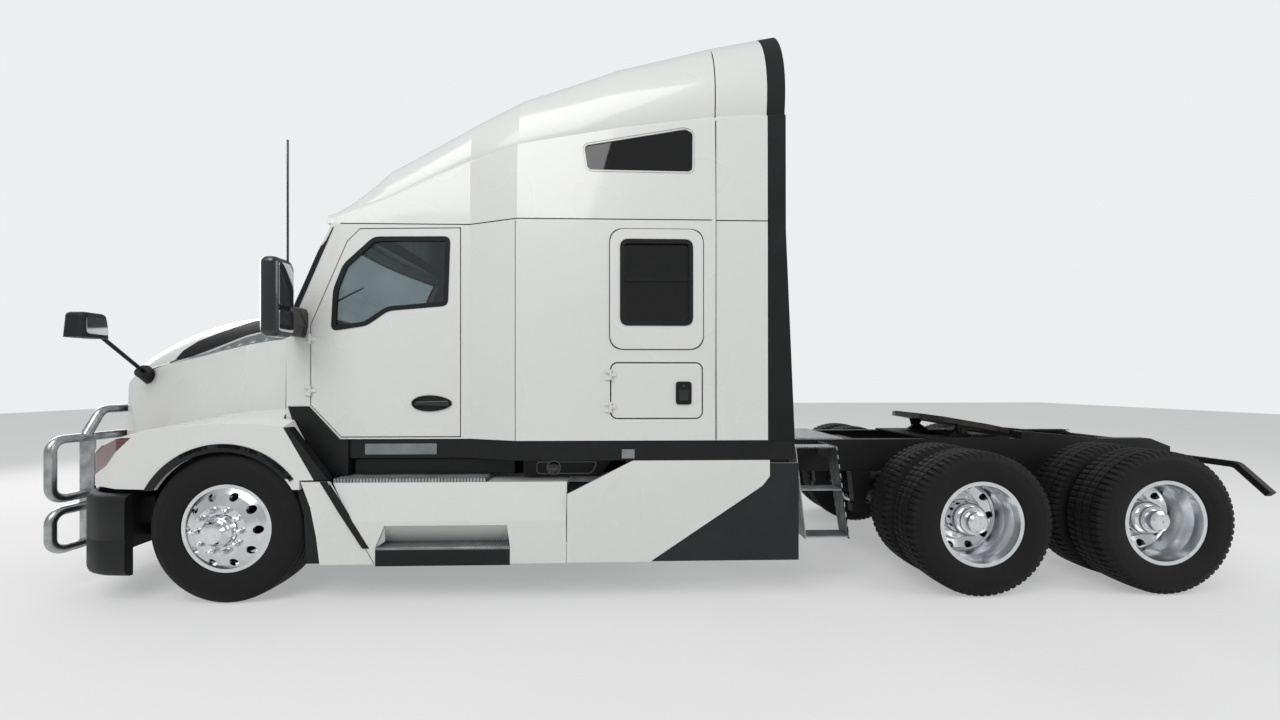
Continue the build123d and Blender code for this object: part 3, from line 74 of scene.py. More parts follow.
camera_data = bpy.data.cameras.new("camera")
camera_data.lens = FOCAL_PIXELS / PHOTO_WIDTH * SENSOR_WIDTH
camera_data.sensor_width = SENSOR_WIDTH
camera_data.shift_y = HORIZON_PIXELS / PHOTO_WIDTH
camera_data.clip_end = 200
camera = bpy.data.objects.new("camera", camera_data)
camera.location = (at(2.705), -4.487, 1.50)
camera.rotation_euler = (math.radians(90), 0, math.radians(-1.6))
bpy.context.scene.collection.objects.link(camera)
bpy.context.scene.camera = camera


# Colours, nodes and finishes


def colour(code):
    """sRGB hex to linear RGBA."""
    parts = [int(code[i : i + 2], 16) / 255 for i in (0, 2, 4)]
    return (*[p / 12.92 if p <= 0.04045 else ((p + 0.055) / 1.055) ** 2.4 for p in parts], 1.0)


def add(tree, kind, sockets=None, stops=(), **settings):
    """Adds a node: sockets maps its inputs to values or to outputs that feed them, stops fill its ramp."""
    made = tree.nodes.new(kind)
    for key, value in settings.items():
        setattr(made, key, value)
    for key, value in (sockets or {}).items():
        socket = made.inputs[key]
        if isinstance(value, bpy.types.NodeSocket):
            tree.links.new(value, socket)
        else:
            socket.default_value = value
    if stops:
        elements = made.color_ramp.elements
        for position, _ in stops[1:-1]:
            elements.new(position)
        for element, (position, code) in zip(elements, stops):
            element.position, element.color = position, colour(code)
    return made


def surface(name, **sockets):
    """A material with its shader, its tree and its coordinates in metres."""
    material = bpy.data.materials.new(name)
    material.use_nodes = True
    tree = material.node_tree
    shader = tree.nodes["Principled BSDF"]
    for key, value in sockets.items():
        shader.inputs[key.replace("_", " ")].default_value = value
    place = add(tree, "ShaderNodeTexCoord", name="place").outputs["Object"]
    return material, tree, shader, place


def coat(tree, shader, pattern, stops, roughness=None, relief=None, depth=0.0, strength=1.0):
    """Lets a pattern set colour and roughness; the relief, or else the pattern, stands out by a depth."""
    shade = add(tree, "ShaderNodeValToRGB", {"Fac": pattern}, stops=stops, name="shade")
    tree.links.new(shade.outputs["Color"], shader.inputs["Base Color"])
    if roughness:
        low, high = roughness
        worn = add(tree, "ShaderNodeMapRange", {"Value": pattern, "To Min": low, "To Max": high})
        tree.links.new(worn.outputs["Result"], shader.inputs["Roughness"])
    if depth:
        sockets = {"Height": relief or pattern, "Distance": depth, "Strength": strength}
        raised = add(tree, "ShaderNodeBump", sockets)
        tree.links.new(raised.outputs["Normal"], shader.inputs["Normal"])


def finish(
    name, film, stops, roughness=None, jagged=0.5, grain=None, stretch=(1, 1, 1), depth=0.0, strength=1.0,
    **sockets,
):
    """A finish whose colour and roughness wander with a film, over the relief of a finer grain.

    film and grain are (size of a blotch in millimetres, detail); depth is in metres.
    stretch draws out the grain, or the film where there is no grain.
    """
    material, tree, shader, place = surface(name, **sockets)
    drawn_out = add(tree, "ShaderNodeMapping", {"Vector": place, "Scale": stretch}).outputs["Vector"]
    relief = None
    if grain:
        sockets = {"Vector": drawn_out, "Scale": 1000 / grain[0], "Detail": grain[1]}
        relief = add(tree, "ShaderNodeTexNoise", sockets).outputs["Fac"]
    start = place if grain else drawn_out
    sockets = {"Vector": start, "Scale": 1000 / film[0], "Detail": film[1], "Roughness": jagged}
    pattern = add(tree, "ShaderNodeTexNoise", sockets, name="pattern").outputs["Fac"]
    coat(tree, shader, pattern, stops, roughness, relief, depth, strength)
    return material


def shade_part(material, share, stops):
    """Gives a finish second colours where share is 1, over its own pattern."""
    tree = material.node_tree
    second = add(tree, "ShaderNodeValToRGB", {"Fac": tree.nodes["pattern"].outputs["Fac"]}, stops=stops)
    sockets = {"Factor": share, 6: tree.nodes["shade"].outputs["Color"], 7: second.outputs["Color"]}
    both = add(tree, "ShaderNodeMix", sockets, data_type="RGBA").outputs[2]
    tree.links.new(both, tree.nodes["Principled BSDF"].inputs["Base Color"])


# Enamel, sprayed in two coats: soft white, wet-looking, with faint orange peel and a little road film
ENAMEL = finish(
    "enamel_white", film=(600, 1), stops=[(0.3, "CDCECB"), (0.75, "CECFCC")], roughness=(0.265, 0.285),
    grain=(12, 1), depth=0.00015, Coat_Weight=0.5, Coat_Roughness=0.06,
)


def moulded_black(name, code, code_dust, roughness, strength=0.5):
    """Polypropylene, injection-moulded: soft black, greyed by dust, its 1 mm leather grain drawn at 3 mm."""
    return finish(
        name, film=(350, 8), jagged=0.65, stops=[(0.4, code), (0.75, code_dust)], roughness=roughness,
        grain=(3, 2), depth=0.0003, strength=strength, Specular_IOR_Level=0.3,
    )


BLACK = moulded_black("moulded_black", "0C0D0E", "17181A", (0.42, 0.66))
SLATE = moulded_black("moulded_slate", "1C1E21", "26292C", (0.45, 0.62))
TRIM = moulded_black("soft_touch_trim", "232427", "34353A", (0.55, 0.75))


def two_tone_skirts():
    """Polypropylene skirts, moulded in two colours: near-black sills under the cab, slate panels behind."""
    material = moulded_black("moulded_skirts", "0A0B0C", "141517", (0.34, 0.55), strength=0.4)
    tree = material.node_tree
    spot = add(tree, "ShaderNodeSeparateXYZ", {"Vector": tree.nodes["place"].outputs["Object"]}).outputs
    behind = add(tree, "ShaderNodeMath", {0: spot["X"], 1: at(PANEL_FRONT)}, operation="GREATER_THAN")
    below = add(tree, "ShaderNodeMath", {0: spot["Z"], 1: PANEL_TOP}, operation="LESS_THAN")
    panel = add(tree, "ShaderNodeMath", {0: behind.outputs[0], 1: below.outputs[0]}, operation="MULTIPLY")
    shade_part(material, panel.outputs[0], [(0.4, "1A1C1F"), (0.75, "232629")])
    return material


SKIRTS = two_tone_skirts()

# ABS, moulded and buffed: near-black with a hard clear shine
GLOSS = finish(
    "gloss_black", film=(200, 5), stops=[(0.3, "0B0C0D"), (0.8, "17191A")], roughness=(0.12, 0.3),
    Coat_Weight=0.6, Coat_Roughness=0.04,
)


def woven_cloth():
    """Seat cloth, flat-woven: charcoal, its 2 mm basket weave drawn with stripes of 5 mm."""
    material, tree, shader, place = surface("woven_cloth", Roughness=0.9, Sheen_Weight=0.3)
    sockets = {"Vector": place, "Scale": stripes(5), "Distortion": 0.4}
    warp = add(tree, "ShaderNodeTexWave", sockets, bands_direction="Z").outputs["Fac"]
    weft = add(tree, "ShaderNodeTexWave", sockets, bands_direction="Y").outputs["Fac"]
    weave = add(tree, "ShaderNodeMath", {0: warp, 1: weft}, operation="MULTIPLY").outputs["Value"]
    coat(tree, shader, weave, [(0.0, "1C1D20"), (1.0, "3A3B40")], depth=0.0008)
    return material


CLOTH = woven_cloth()


def tinted_glass(name):
    """Float glass, tinted grey-green: clear reflections and a trace of dust."""
    return finish(
        name, film=(250, 6), stops=[(0.3, "A7B3B6"), (0.8, "B4BDBF")], roughness=(0.01, 0.04),
        IOR=1.5, Transmission_Weight=1.0,
    )


def privacy_glass():
    """Float glass of the body: as the doors' at the windshield, near-black in the sleeper behind them."""
    material = tinted_glass("cab_glass")
    tree = material.node_tree
    spot = add(tree, "ShaderNodeSeparateXYZ", {"Vector": tree.nodes["place"].outputs["Object"]}).outputs
    behind = add(tree, "ShaderNodeMath", {0: spot["X"], 1: at(SLEEPER_FRONT)}, operation="GREATER_THAN")
    shade_part(material, behind.outputs[0], [(0.3, "15181A"), (0.8, "1D2022")])
    return material


GLASS = tinted_glass("tinted_glass")
CAB_GLASS = privacy_glass()

# Forged aluminium, machine-polished: bright, with faint turning marks and a haze of road dust
POLISHED = finish(
    "polished_aluminium", film=(50, 6), stops=[(0.3, "E0E2E4"), (0.75, "D0D2D5")], roughness=(0.16, 0.28),
    grain=(30, 1), depth=0.00008, strength=0.3, Metallic=1.0,
)

# Chrome, plated over a pressed cover: mirror bright, a little water-marked
CHROME = finish(
    "chrome_plate", film=(30, 5), stops=[(0.3, "E2E3E5"), (0.8, "CFD1D4")], roughness=(0.05, 0.16),
    Metallic=1.0,
)

# Stainless tube, belt-brushed along its length: satin, with fine lines drawn at 2 mm
STAINLESS = finish(
    "brushed_stainless", film=(80, 6), stops=[(0.35, "B9BBBD"), (0.7, "8E8F90")], roughness=(0.22, 0.42),
    grain=(2, 2), stretch=(1, 0.04, 1), depth=0.0002, strength=0.4, Metallic=1.0,
)

# Silver-grey lacquer over a moulding: satin, faintly flaked, dulled in patches
SATIN = finish(
    "satin_grey", film=(150, 6), stops=[(0.3, "878C90"), (0.75, "6F7478")], roughness=(0.28, 0.45),
    grain=(2, 1), depth=0.0001, strength=0.3, Metallic=0.6,
)

# Rolled aluminium as it comes from the mill: pale grey, dull, oxidised in clouds
MILL = finish(
    "mill_aluminium", film=(120, 7), stops=[(0.3, "9FA2A4"), (0.75, "777A7C")], roughness=(0.35, 0.6),
    Metallic=1.0,
)


def punched_tread():
    """Aluminium step tread, punched in rows of round holes with raised rims, 22 mm apart: scuffed bright, its
    holes painted near-black as shade.
    """
    material = finish(
        "punched_tread", film=(80, 8), jagged=0.7, stops=[(0.35, "B2B5B7"), (0.65, "8A8D8F")],
        roughness=(0.4, 0.65), Metallic=0.8,
    )
    tree = material.node_tree
    shader = tree.nodes["Principled BSDF"]
    sockets = {"Vector": tree.nodes["place"].outputs["Object"], "Scale": (1, 1, 0)}
    flat = add(tree, "ShaderNodeMapping", sockets).outputs["Vector"]
    sockets = {"Vector": flat, "Scale": 1000 / 22, "Randomness": 0.0}
    middles = add(tree, "ShaderNodeTexVoronoi", sockets).outputs["Distance"]
    sockets = {"Value": middles, "From Min": 0.26, "From Max": 0.34}
    metal = add(tree, "ShaderNodeMapRange", sockets).outputs["Result"]
    # The holes are coloured near-black: painted shade for the dark seen through them.
    sockets = {"Factor": metal, 6: colour("0C0C0D"), 7: tree.nodes["shade"].outputs["Color"]}
    holes_in_painted_shade = add(tree, "ShaderNodeMix", sockets, data_type="RGBA").outputs[2]
    sockets = {"Height": metal, "Distance": 0.003, "Strength": 0.7}
    raised = add(tree, "ShaderNodeBump", sockets).outputs["Normal"]
    tree.links.new(holes_in_painted_shade, shader.inputs["Base Color"])
    tree.links.new(raised, shader.inputs["Normal"])
    return material


TREAD = punched_tread()

# Chassis enamel over rolled and cast steel: black, dull, with pale dust and a few rusty spots
CHASSIS = finish(
    "chassis_black", film=(250, 9), jagged=0.68, roughness=(0.38, 0.7),
    stops=[(0.3, "08090A"), (0.62, "101010"), (0.85, "26221E")],
    grain=(6, 3), depth=0.0004, strength=0.5, Specular_IOR_Level=0.35,
)

# Cast iron under matt paint: dark grey, sandy
CASTING = finish(
    "cast_engine", film=(10, 5), stops=[(0.3, "232425"), (0.8, "3A3A39")], roughness=(0.5, 0.75),
    depth=0.001, strength=0.6,
)

# Cast steel, smeared with grease: black, glossy where it is wet
GREASED = finish(
    "greased_casting", film=(60, 7), stretch=(0.5, 1.6, 1), stops=[(0.35, "0B0B0A"), (0.7, "2A2723")],
    roughness=(0.22, 0.6), depth=0.0015, strength=0.6,
)

# EPDM rubber, extruded: dense black, dry, with faint drawn lines
EDGE = finish(
    "edge_rubber", film=(300, 7), stops=[(0.3, "0D0E0F"), (0.8, "1A1B1C")], roughness=(0.55, 0.8),
    grain=(8, 2), stretch=(1, 1, 0.05), depth=0.0006, strength=0.5, Specular_IOR_Level=0.25,
)

# Tyre rubber, moulded: black-brown, matt, paler where dust lies on the sidewall
TYRE = finish(
    "tyre_rubber", film=(90, 9), jagged=0.7, stops=[(0.3, "0C0C0C"), (0.6, "131312"), (0.85, "221F1D")],
    roughness=(0.6, 0.85), grain=(4, 3), depth=0.0004, strength=0.5, Specular_IOR_Level=0.25,
)

# Convex glass, silvered: a mirror with a trace of dust
SILVERED = finish(
    "mirror_glass", film=(100, 6), stops=[(0.3, "E6E8EA"), (0.8, "D2D5D8")], roughness=(0.02, 0.08),
    Metallic=1.0,
)


def fluted_lens(name, flute, across, stops, roughness, depth, strength):
    """Polycarbonate, moulded with flutes and clear-coated: glassy, the flutes' stripes of light and shade
    painted into its colour.
    """
    material, tree, shader, place = surface(name, Coat_Weight=0.8, Coat_Roughness=0.03)
    sockets = {"Vector": place, "Scale": stripes(flute), "Distortion": 0.0}
    flutes_and_painted_shade = add(tree, "ShaderNodeTexWave", sockets, bands_direction=across, name="pattern").outputs["Fac"]
    # The flutes raise the relief and also paint stripes of highlight and shade into the colour.
    coat(tree, shader, flutes_and_painted_shade, stops, roughness, depth=depth, strength=strength)
    return material


def headlamp_lens():
    """Headlamp: clear over the lamps at the nose, deep red where it wraps round the fender, both striped with
    painted highlight and shade along the flutes.
    """
    clear = [(0.2, "8D9396"), (0.8, "C9CFD3")]
    material = fluted_lens("headlamp_lens", 12, "Z", clear, (0.08, 0.16), 0.0006, 0.3)
    tree = material.node_tree
    spot = add(tree, "ShaderNodeSeparateXYZ", {"Vector": tree.nodes["place"].outputs["Object"]}).outputs
    sockets = {"Value": spot["X"], "From Min": at(CLEAR_END), "From Max": at(RED_START)}
    wrap = add(tree, "ShaderNodeMapRange", sockets).outputs["Result"]
    shade_part(material, wrap, [(0.2, "330A09"), (0.8, "64130F")])
    return material


HEADLAMP = headlamp_lens()
# A red lens whose colour runs in light and dark stripes along the flutes: painted highlight and shade.
RED_LENS = fluted_lens("red_lens", 6, "Y", [(0.2, "6C0D09"), (0.8, "8E1410")], (0.1, 0.2), 0.0008, 0.4)

PAINTED = [
    "baggage_door_left", "baggage_door_right", "cab_shell", "door_left", "door_right", "extenders", "hood",
    "roof", "side_fairings", "sleeper_shell",
]
FINISHES = [
    (ENAMEL, PAINTED),
    (BLACK, ["bumper", "grille", "hood_trims"]),
    (SKIRTS, ["dark_skirts"]),
    (GLOSS, ["cab_mirrors"]),
    (CAB_GLASS, ["cab_glass"]),
    (GLASS, ["door_glass_left", "door_glass_right"]),
    (TRIM, ["dashboard"]),
    (CLOTH, ["seats_and_bunk"]),
    (TREAD, ["steps_and_deck"]),
    (CHASSIS, ["axles", "frame", "springs", "fifth_wheel_base", "knuckle_left", "knuckle_right"]),
    (CASTING, ["engine"]),
    (MILL, ["fuel_tanks"]),
    (EDGE, ["extender_edges"]),
    (GREASED, ["fifth_wheel_plate"]),
    (STAINLESS, ["guard"]),
    (HEADLAMP, ["headlamps"]),
    (TYRE, [name for name in NODES if name.startswith("tyre")]),
    (POLISHED, [name for name in NODES if name.startswith("rim")]),
]
for material, names in FINISHES:
    for name in names:
        mesh = NODES[name].data
        mesh.materials.clear()
        mesh.materials.append(material)


# Making pieces


def piece(name, points, faces, material, body, sharp=30):
    """A mesh piece that rides on a body, smooth except at its sharp edges."""
    mesh = bpy.data.meshes.new(name)
    mesh.from_pydata(points, [], faces)
    mesh.validate()
    mesh.shade_smooth()
    mesh.set_sharp_from_angle(angle=math.radians(sharp))
    mesh.materials.append(material)
    made = bpy.data.objects.new(name, mesh)
    bpy.context.scene.collection.objects.link(made)
    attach(made, body)
    return made


def bevel(made, width, segments=2):
    """Rounds the sharp edges of a piece."""
    edges = made.modifiers.new("rounded_edges", "BEVEL")
    edges.width = width
    edges.segments = segments
    edges.limit_method = "ANGLE"
    return made


def merge(parts):
    """Joins (points, faces) lists into one."""
    points, faces = [], []
    for more_points, more_faces in parts:
        start = len(points)
        points += more_points
        faces += [tuple(start + i for i in face) for face in more_faces]
    return points, faces


def lattice(rows, columns, rows_close, columns_close):
    """Faces between the rows of a grid of points, listed row after row; either way of the grid may close."""
    faces = []
    for row in range(rows if rows_close else rows - 1):
        here, there = row * columns, (row + 1) % rows * columns
        for left in range(columns if columns_close else columns - 1):
            right = (left + 1) % columns
            faces.append((here + left, here + right, there + right, there + left))
    return faces


def caps(columns, total):
    """End faces over the first and last row of a grid of points."""
    return [tuple(range(columns))[::-1], tuple(range(total - columns, total))]


def spun(profile, centre, axis, turns):
    """Surface of revolution: profile holds (along, radius) pairs about an axis through centre."""
    axis = Vector(axis).normalized()
    across = axis.orthogonal().normalized()
    up = axis.cross(across)
    points = []
    for step in range(turns):
        angle = math.tau * step / turns
        out = across * math.cos(angle) + up * math.sin(angle)
        points += [tuple(Vector(centre) + axis * along + out * radius) for along, radius in profile]
    return points, lattice(turns, len(profile), True, False)


def slab(outline, low, high, place):
    """Flat outline made solid: place turns (u, v, depth) into a point."""
    count = len(outline)
    points = [place(u, v, depth) for depth in (low, high) for u, v in outline]
    return points, caps(count, 2 * count) + lattice(2, count, False, True)


def ring(outer, inner, low, high, place):
    """Frame between two outlines with the same number of corners."""
    rows = ((outer, low), (outer, high), (inner, high), (inner, low))
    return [place(u, v, depth) for line, depth in rows for u, v in line], lattice(4, len(outer), True, True)


def corner(before, here, after, radius, parts, steps):
    """Curve that rounds off a corner, within one of so many parts of the way to each neighbour."""
    cut_in = (before - here).normalized() * min(radius, (before - here).length / parts)
    cut_out = (after - here).normalized() * min(radius, (after - here).length / parts)
    shares = [step / steps for step in range(steps + 1)]
    return [here + cut_in * (1 - share) ** 2 + cut_out * share**2 for share in shares]


def rounded(outline, radius, steps=4):
    """Outline with its corners rounded."""
    spots = [Vector(spot) for spot in outline]
    made = []
    for before, here, after in zip(spots[-1:] + spots, spots, spots[1:] + spots[:1]):
        made += [tuple(spot) for spot in corner(before, here, after, radius, 2.2, steps)]
    return made


def box_outline(left, low, right, high):
    """Rectangle from its lower left corner round."""
    return [(left, low), (right, low), (right, high), (left, high)]


def grown(outline, amount):
    """Outline moved outwards by an amount, corner by corner."""
    spots = [Vector(spot) for spot in outline]
    area = sum(a.x * b.y - b.x * a.y for a, b in zip(spots[-1:] + spots, spots))
    sign = 1 if area > 0 else -1
    made = []
    for before, here, after in zip(spots[-1:] + spots, spots, spots[1:] + spots[:1]):
        first, second = (here - before).normalized(), (after - here).normalized()
        total = (Vector((first.y, -first.x)) + Vector((second.y, -second.x))) * sign
        made.append(tuple(here + total * (amount / max(0.3, total.length_squared / 2))))
    return made


def side_place(hand, half):
    """Outlines in (behind the front axle, height) on a side of the vehicle; depth counts outwards."""
    return lambda u, v, d: (at(u), hand * (half + d), v)


def tube(name, points, radius, material, body, bend=0.0, sides=10):
    """Round bar along a line of points."""
    path = [Vector(p) for p in points]
    if bend:
        middle = [corner(*three, bend, 2, 6) for three in zip(path, path[1:], path[2:])]
        path = path[:1] + [spot for curve in middle for spot in curve] + path[-1:]
    vertices = []
    previous = (path[1] - path[0]).normalized().orthogonal().normalized()
    for i, here in enumerate(path):
        ahead = (path[min(i + 1, len(path) - 1)] - path[max(i - 1, 0)]).normalized()
        across = (previous - ahead * previous.dot(ahead)).normalized()
        up = ahead.cross(across)
        previous = across
        for step in range(sides):
            angle = math.tau * step / sides
            vertices.append(tuple(here + (across * math.cos(angle) + up * math.sin(angle)) * radius))
    faces = lattice(len(path), sides, False, True) + caps(sides, len(vertices))
    return piece(name, vertices, faces, material, body, sharp=50)


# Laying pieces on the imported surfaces, by places of the side view

# Rays start clear of the part; a laid line has a point at each step; its edges sink in
CLEAR_OF_PART = 2.0
LAY_STEP, SINK = 0.05, 0.004


def shell_of(*names):
    """Search tree over CAD nodes."""
    points, faces = [], []
    for name in names:
        mesh = NODES[name].data
        start = len(points)
        points += [vertex.co.copy() for vertex in mesh.vertices]
        faces += [tuple(start + i for i in polygon.vertices) for polygon in mesh.polygons]
    return BVHTree.FromPolygons(points, faces)


def onto_side(tree, u, v, hand, lift):
    """Point of a tree's outer side at a place of the side view, lifted outwards."""
    hit = tree.ray_cast(Vector((at(u), hand * CLEAR_OF_PART, v)), Vector((0, -hand, 0)))[0]
    return Vector((at(u), (hit.y if hit else hand * CAB_HALF) + hand * lift, v))


def spaced(line, step, closed=False):
    """Line of the side view with points no further apart than a step."""
    ends = list(line) + ([line[0]] if closed else [])
    made = []
    for start, end in zip(ends, ends[1:]):
        start, end = Vector(start), Vector(end)
        count = max(1, math.ceil((end - start).length / step))
        made += [start.lerp(end, i / count) for i in range(count)]
    return made if closed else made + [Vector(ends[-1])]


def ribbon(tree, line, width, hand, rise, closed=False):
    """Strip laid along a line, its edges sunk into the surface."""
    path = spaced(line, LAY_STEP, closed)
    points = []
    count = len(path)
    for i, here in enumerate(path):
        before = path[i - 1] if closed or i else here
        after = path[(i + 1) % count] if closed or i < count - 1 else here
        along = (after - before).normalized()
        across = Vector((-along.y, along.x)) * width / 2
        for side, lift in ((-1, -SINK), (-0.9, rise), (0.9, rise), (1, -SINK)):
            spot = here + across * side
            points.append(tuple(onto_side(tree, spot.x, spot.y, hand, lift)))
    faces = lattice(count, 4, closed, False)
    if not closed:
        faces += [(0, 1, 2, 3), tuple(range(count * 4 - 1, count * 4 - 5, -1))]
    return points, faces


def patch(tree, outline, hand, rise, step):
    """Plate laid inside an outline, its rim sunk into the surface."""
    edge = spaced(outline, step, closed=True)
    count = len(edge)
    low_u, high_u = min(p.x for p in edge), max(p.x for p in edge)
    low_v, high_v = min(p.y for p in edge), max(p.y for p in edge)
    inner = []
    for i in range(1, int((high_u - low_u) / step) + 1):
        for j in range(1, int((high_v - low_v) / step) + 1):
            spot = Vector((low_u + i * step, low_v + j * step))
            if min((spot - other).length for other in edge) > step * 0.45:
                inner.append(spot)
    rim = [(i, (i + 1) % count) for i in range(count)]
    flat, _, triangles, origins, _, _ = delaunay_2d_cdt(edge + inner, rim, [list(range(count))], 1, 1e-6)
    points = [tuple(onto_side(tree, spot.x, spot.y, hand, rise)) for spot in flat]
    order = {origin: number for number, group in enumerate(origins) for origin in group}
    start = len(points)
    points += [tuple(onto_side(tree, spot.x, spot.y, hand, -SINK)) for spot in edge]
    faces = [tuple(triangle) for triangle in triangles]
    faces += [(order[i], order[j], start + j, start + i) for i, j in rim]
    return points, faces


def tall_box(first, second):
    """Closed block between two opposite corners, for bevelling."""
    (a, b, c), (d, e, f) = [[choose(pair) for pair in zip(first, second)] for choose in (min, max)]
    points = [(a, b, c), (d, b, c), (d, e, c), (a, e, c), (a, b, f), (d, b, f), (d, e, f), (a, e, f)]
    faces = [(0, 3, 2, 1), (4, 5, 6, 7), (0, 1, 5, 4), (1, 2, 6, 5), (2, 3, 7, 6), (3, 0, 4, 7)]
    return points, faces


# Tyres: ribs on the steered pair, shoulder lugs on the drive axles; s runs across, r from the axle

TYRE_R = 0.508
BEAD_R = 0.2865
SIDEWALL = [
    (0.101, BEAD_R), (0.106, 0.2995), (0.122, 0.3065), (0.128, 0.318), (0.1305, 0.330), (0.1315, 0.3345),
    (0.1375, 0.352), (0.1425, 0.385), (0.1428, 0.402), (0.1405, 0.428), (0.1415, 0.434), (0.1365, 0.455),
    (0.1335, 0.4615),
]
SHOULDER = [(0.121, 0.4925), (0.127, 0.480)]
GROOVE, MIDDLE_CUT = 0.012, 0.006
GROOVE_WALL = 0.0015
LUG_INSIDE = 0.06


def crown(s):
    """Height of the tread's surface above the axle at a distance from the tyre's middle."""
    return TYRE_R - 0.0012 - 0.4 * s * s


def tyre_surface(middle, at_x, ribs, lugs, steps):
    """Tyre as a grid of its profile round the axle; lugs cut the shoulders deep, the middle ribs a little."""
    tread = []
    for (low, high), following in zip(ribs, ribs[1:] + [None]):
        tread += [(low, "rib"), (high, "rib")]
        if following:
            tread += [(high + GROOVE_WALL, "groove"), (following[0] - GROOVE_WALL, "groove")]
    half = [(s, r, "side") for s, r in SIDEWALL] + [(s, r, "lug") for s, r in SHOULDER[::-1]]
    profile = [(-s, r, kind) for s, r, kind in half]
    profile += [(s, crown(s) - (GROOVE if kind == "groove" else 0), kind) for s, kind in tread]
    profile += half[::-1]
    points = []
    for step in range(steps):
        angle = math.tau * step / steps
        cut = lugs and step % (steps // lugs) == 0
        for s, r, kind in profile:
            if cut and abs(s) > LUG_INSIDE and kind == "rib":
                r -= GROOVE
            elif cut and abs(s) > LUG_INSIDE and kind == "lug":
                r, s = r - GROOVE * 0.8, s * 0.975
            elif cut and kind == "rib":
                r -= MIDDLE_CUT
            points.append((at_x + r * math.cos(angle), middle + s, AXLE_Z + r * math.sin(angle)))
    return points, lattice(steps, len(profile), True, True)


STEER_RIBS = [(-0.112, -0.076), (-0.066, -0.030), (-0.020, 0.020), (0.030, 0.066), (0.076, 0.112)]
DRIVE_RIBS = [(-0.112, -0.064), (-0.054, -0.004), (0.004, 0.054), (0.064, 0.112)]
STEER_Y, DUAL_Y, DISC_OFFSET = 1.040, 0.925, 0.168

for side, hand in SIDES:
    ribbed = tyre_surface(hand * STEER_Y, at(0), STEER_RIBS, lugs=0, steps=144)
    ribbed = piece(f"ribbed_tyre_{side}", *ribbed, TYRE, f"steer_wheel_{side}", sharp=35)
    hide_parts(f"tyre_steer_{side}")
    for number, behind in enumerate(DRIVE_AXLES, 1):
        pair = merge([
            tyre_surface(hand * (DUAL_Y + offset), at(behind), DRIVE_RIBS, lugs=66, steps=264)
            for offset in (-DISC_OFFSET, DISC_OFFSET)
        ])
        lugged = piece(f"lugged_tyres_{number}_{side}", *pair, TYRE, f"dual_{number}_{side}", sharp=35)
        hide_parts(f"tyres_drive_{number}_{side}")

# Wheel nuts and hub covers: the drive axles' covers reach out over nuts and flange

NUT_CIRCLE = 0.1429
NUTS = 10
SKIRT_R, HEX_R = 0.0215, 0.0185


def nut_ring(middle_x, face_y, hand, length):
    """Chromed nuts round the disc: round skirt, hexagon and turned crown."""
    crown_at = length - 0.006
    profiles = (
        ([(-0.002, 0.0), (-0.002, SKIRT_R), (0.006, SKIRT_R), (0.006, HEX_R)], 12),
        ([(0.005, HEX_R), (crown_at, 0.0175)], 6),
        ([(crown_at, 0.0175), (length, 0.011), (length + 0.001, 0.0)], 6),
    )
    made = []
    for number in range(NUTS):
        angle = math.tau * number / NUTS
        centre = (middle_x + NUT_CIRCLE * math.cos(angle), face_y, AXLE_Z + NUT_CIRCLE * math.sin(angle))
        made += [spun(profile, centre, (0, hand, 0), turns) for profile, turns in profiles]
    return merge(made)


FRONT_COVER = [
    (0.004, 0.112), (0.010, 0.110), (0.020, 0.100), (0.034, 0.090), (0.044, 0.0865), (0.048, 0.080),
    (0.058, 0.074), (0.075, 0.066), (0.0785, 0.050), (0.0795, 0.0),
]
DRIVE_COVER = [
    (0.012, 0.176), (0.030, 0.175), (0.052, 0.168), (0.062, 0.146), (0.070, 0.130), (0.150, 0.124),
    (0.172, 0.116), (0.188, 0.098), (0.198, 0.070), (0.203, 0.036), (0.204, 0.0),
]
for side, hand in SIDES:
    disc_y = hand * (STEER_Y + DISC_OFFSET)
    piece(f"front_nuts_{side}", *nut_ring(at(0), disc_y, hand, 0.042), CHROME, f"steer_wheel_{side}")
    cover = spun(FRONT_COVER, (at(0), disc_y, AXLE_Z), (0, hand, 0), 48)
    piece(f"front_hub_cover_{side}", *cover, CHROME, f"steer_wheel_{side}", sharp=40)
    for number, behind in enumerate(DRIVE_AXLES, 1):
        nuts = nut_ring(at(behind), hand * (DUAL_Y + 0.020), hand, 0.045)
        piece(f"drive_nuts_{number}_{side}", *nuts, CHROME, f"dual_{number}_{side}")
        cover = spun(DRIVE_COVER, (at(behind), hand * DUAL_Y, AXLE_Z), (0, hand, 0), 56)
        piece(f"drive_hub_cover_{number}_{side}", *cover, CHROME, f"dual_{number}_{side}", sharp=40)

# Outlines of the side view, as (behind the front axle, height)

DOOR_GLASS = [
    (0.643, 1.864), (0.878, 1.900), (1.030, 2.006), (1.440, 2.043), (1.457, 2.520), (0.935, 2.514),
    (0.727, 2.322), (0.658, 2.146),
]
SLEEPER_WINDOW = box_outline(2.660, 1.884, 3.160, 2.476)
SLIDER_BAR = box_outline(2.690, 2.188, 3.130, 2.214)
BEZEL = box_outline(2.592, 1.726, 3.229, 2.544)
ROOF_WINDOW = [(2.440, 2.952), (3.157, 2.945), (3.160, 3.215), (3.110, 3.240), (2.415, 3.119)]
LATCH = rounded(box_outline(3.042, 1.346, 3.150, 1.503), 0.022)
PADDLE = rounded(box_outline(3.062, 1.372, 3.130, 1.446), 0.012)
LOCK_MIDDLE = (3.096, 1.474)
HANDLE_MIDDLE = (1.335, 1.350)
HANDLE_LEVER = [(1.212, 1.338), (1.452, 1.330), (1.462, 1.352), (1.452, 1.368), (1.225, 1.362)]
BARE_PLATE = box_outline(0.869, 0.990, 1.367, 1.066)
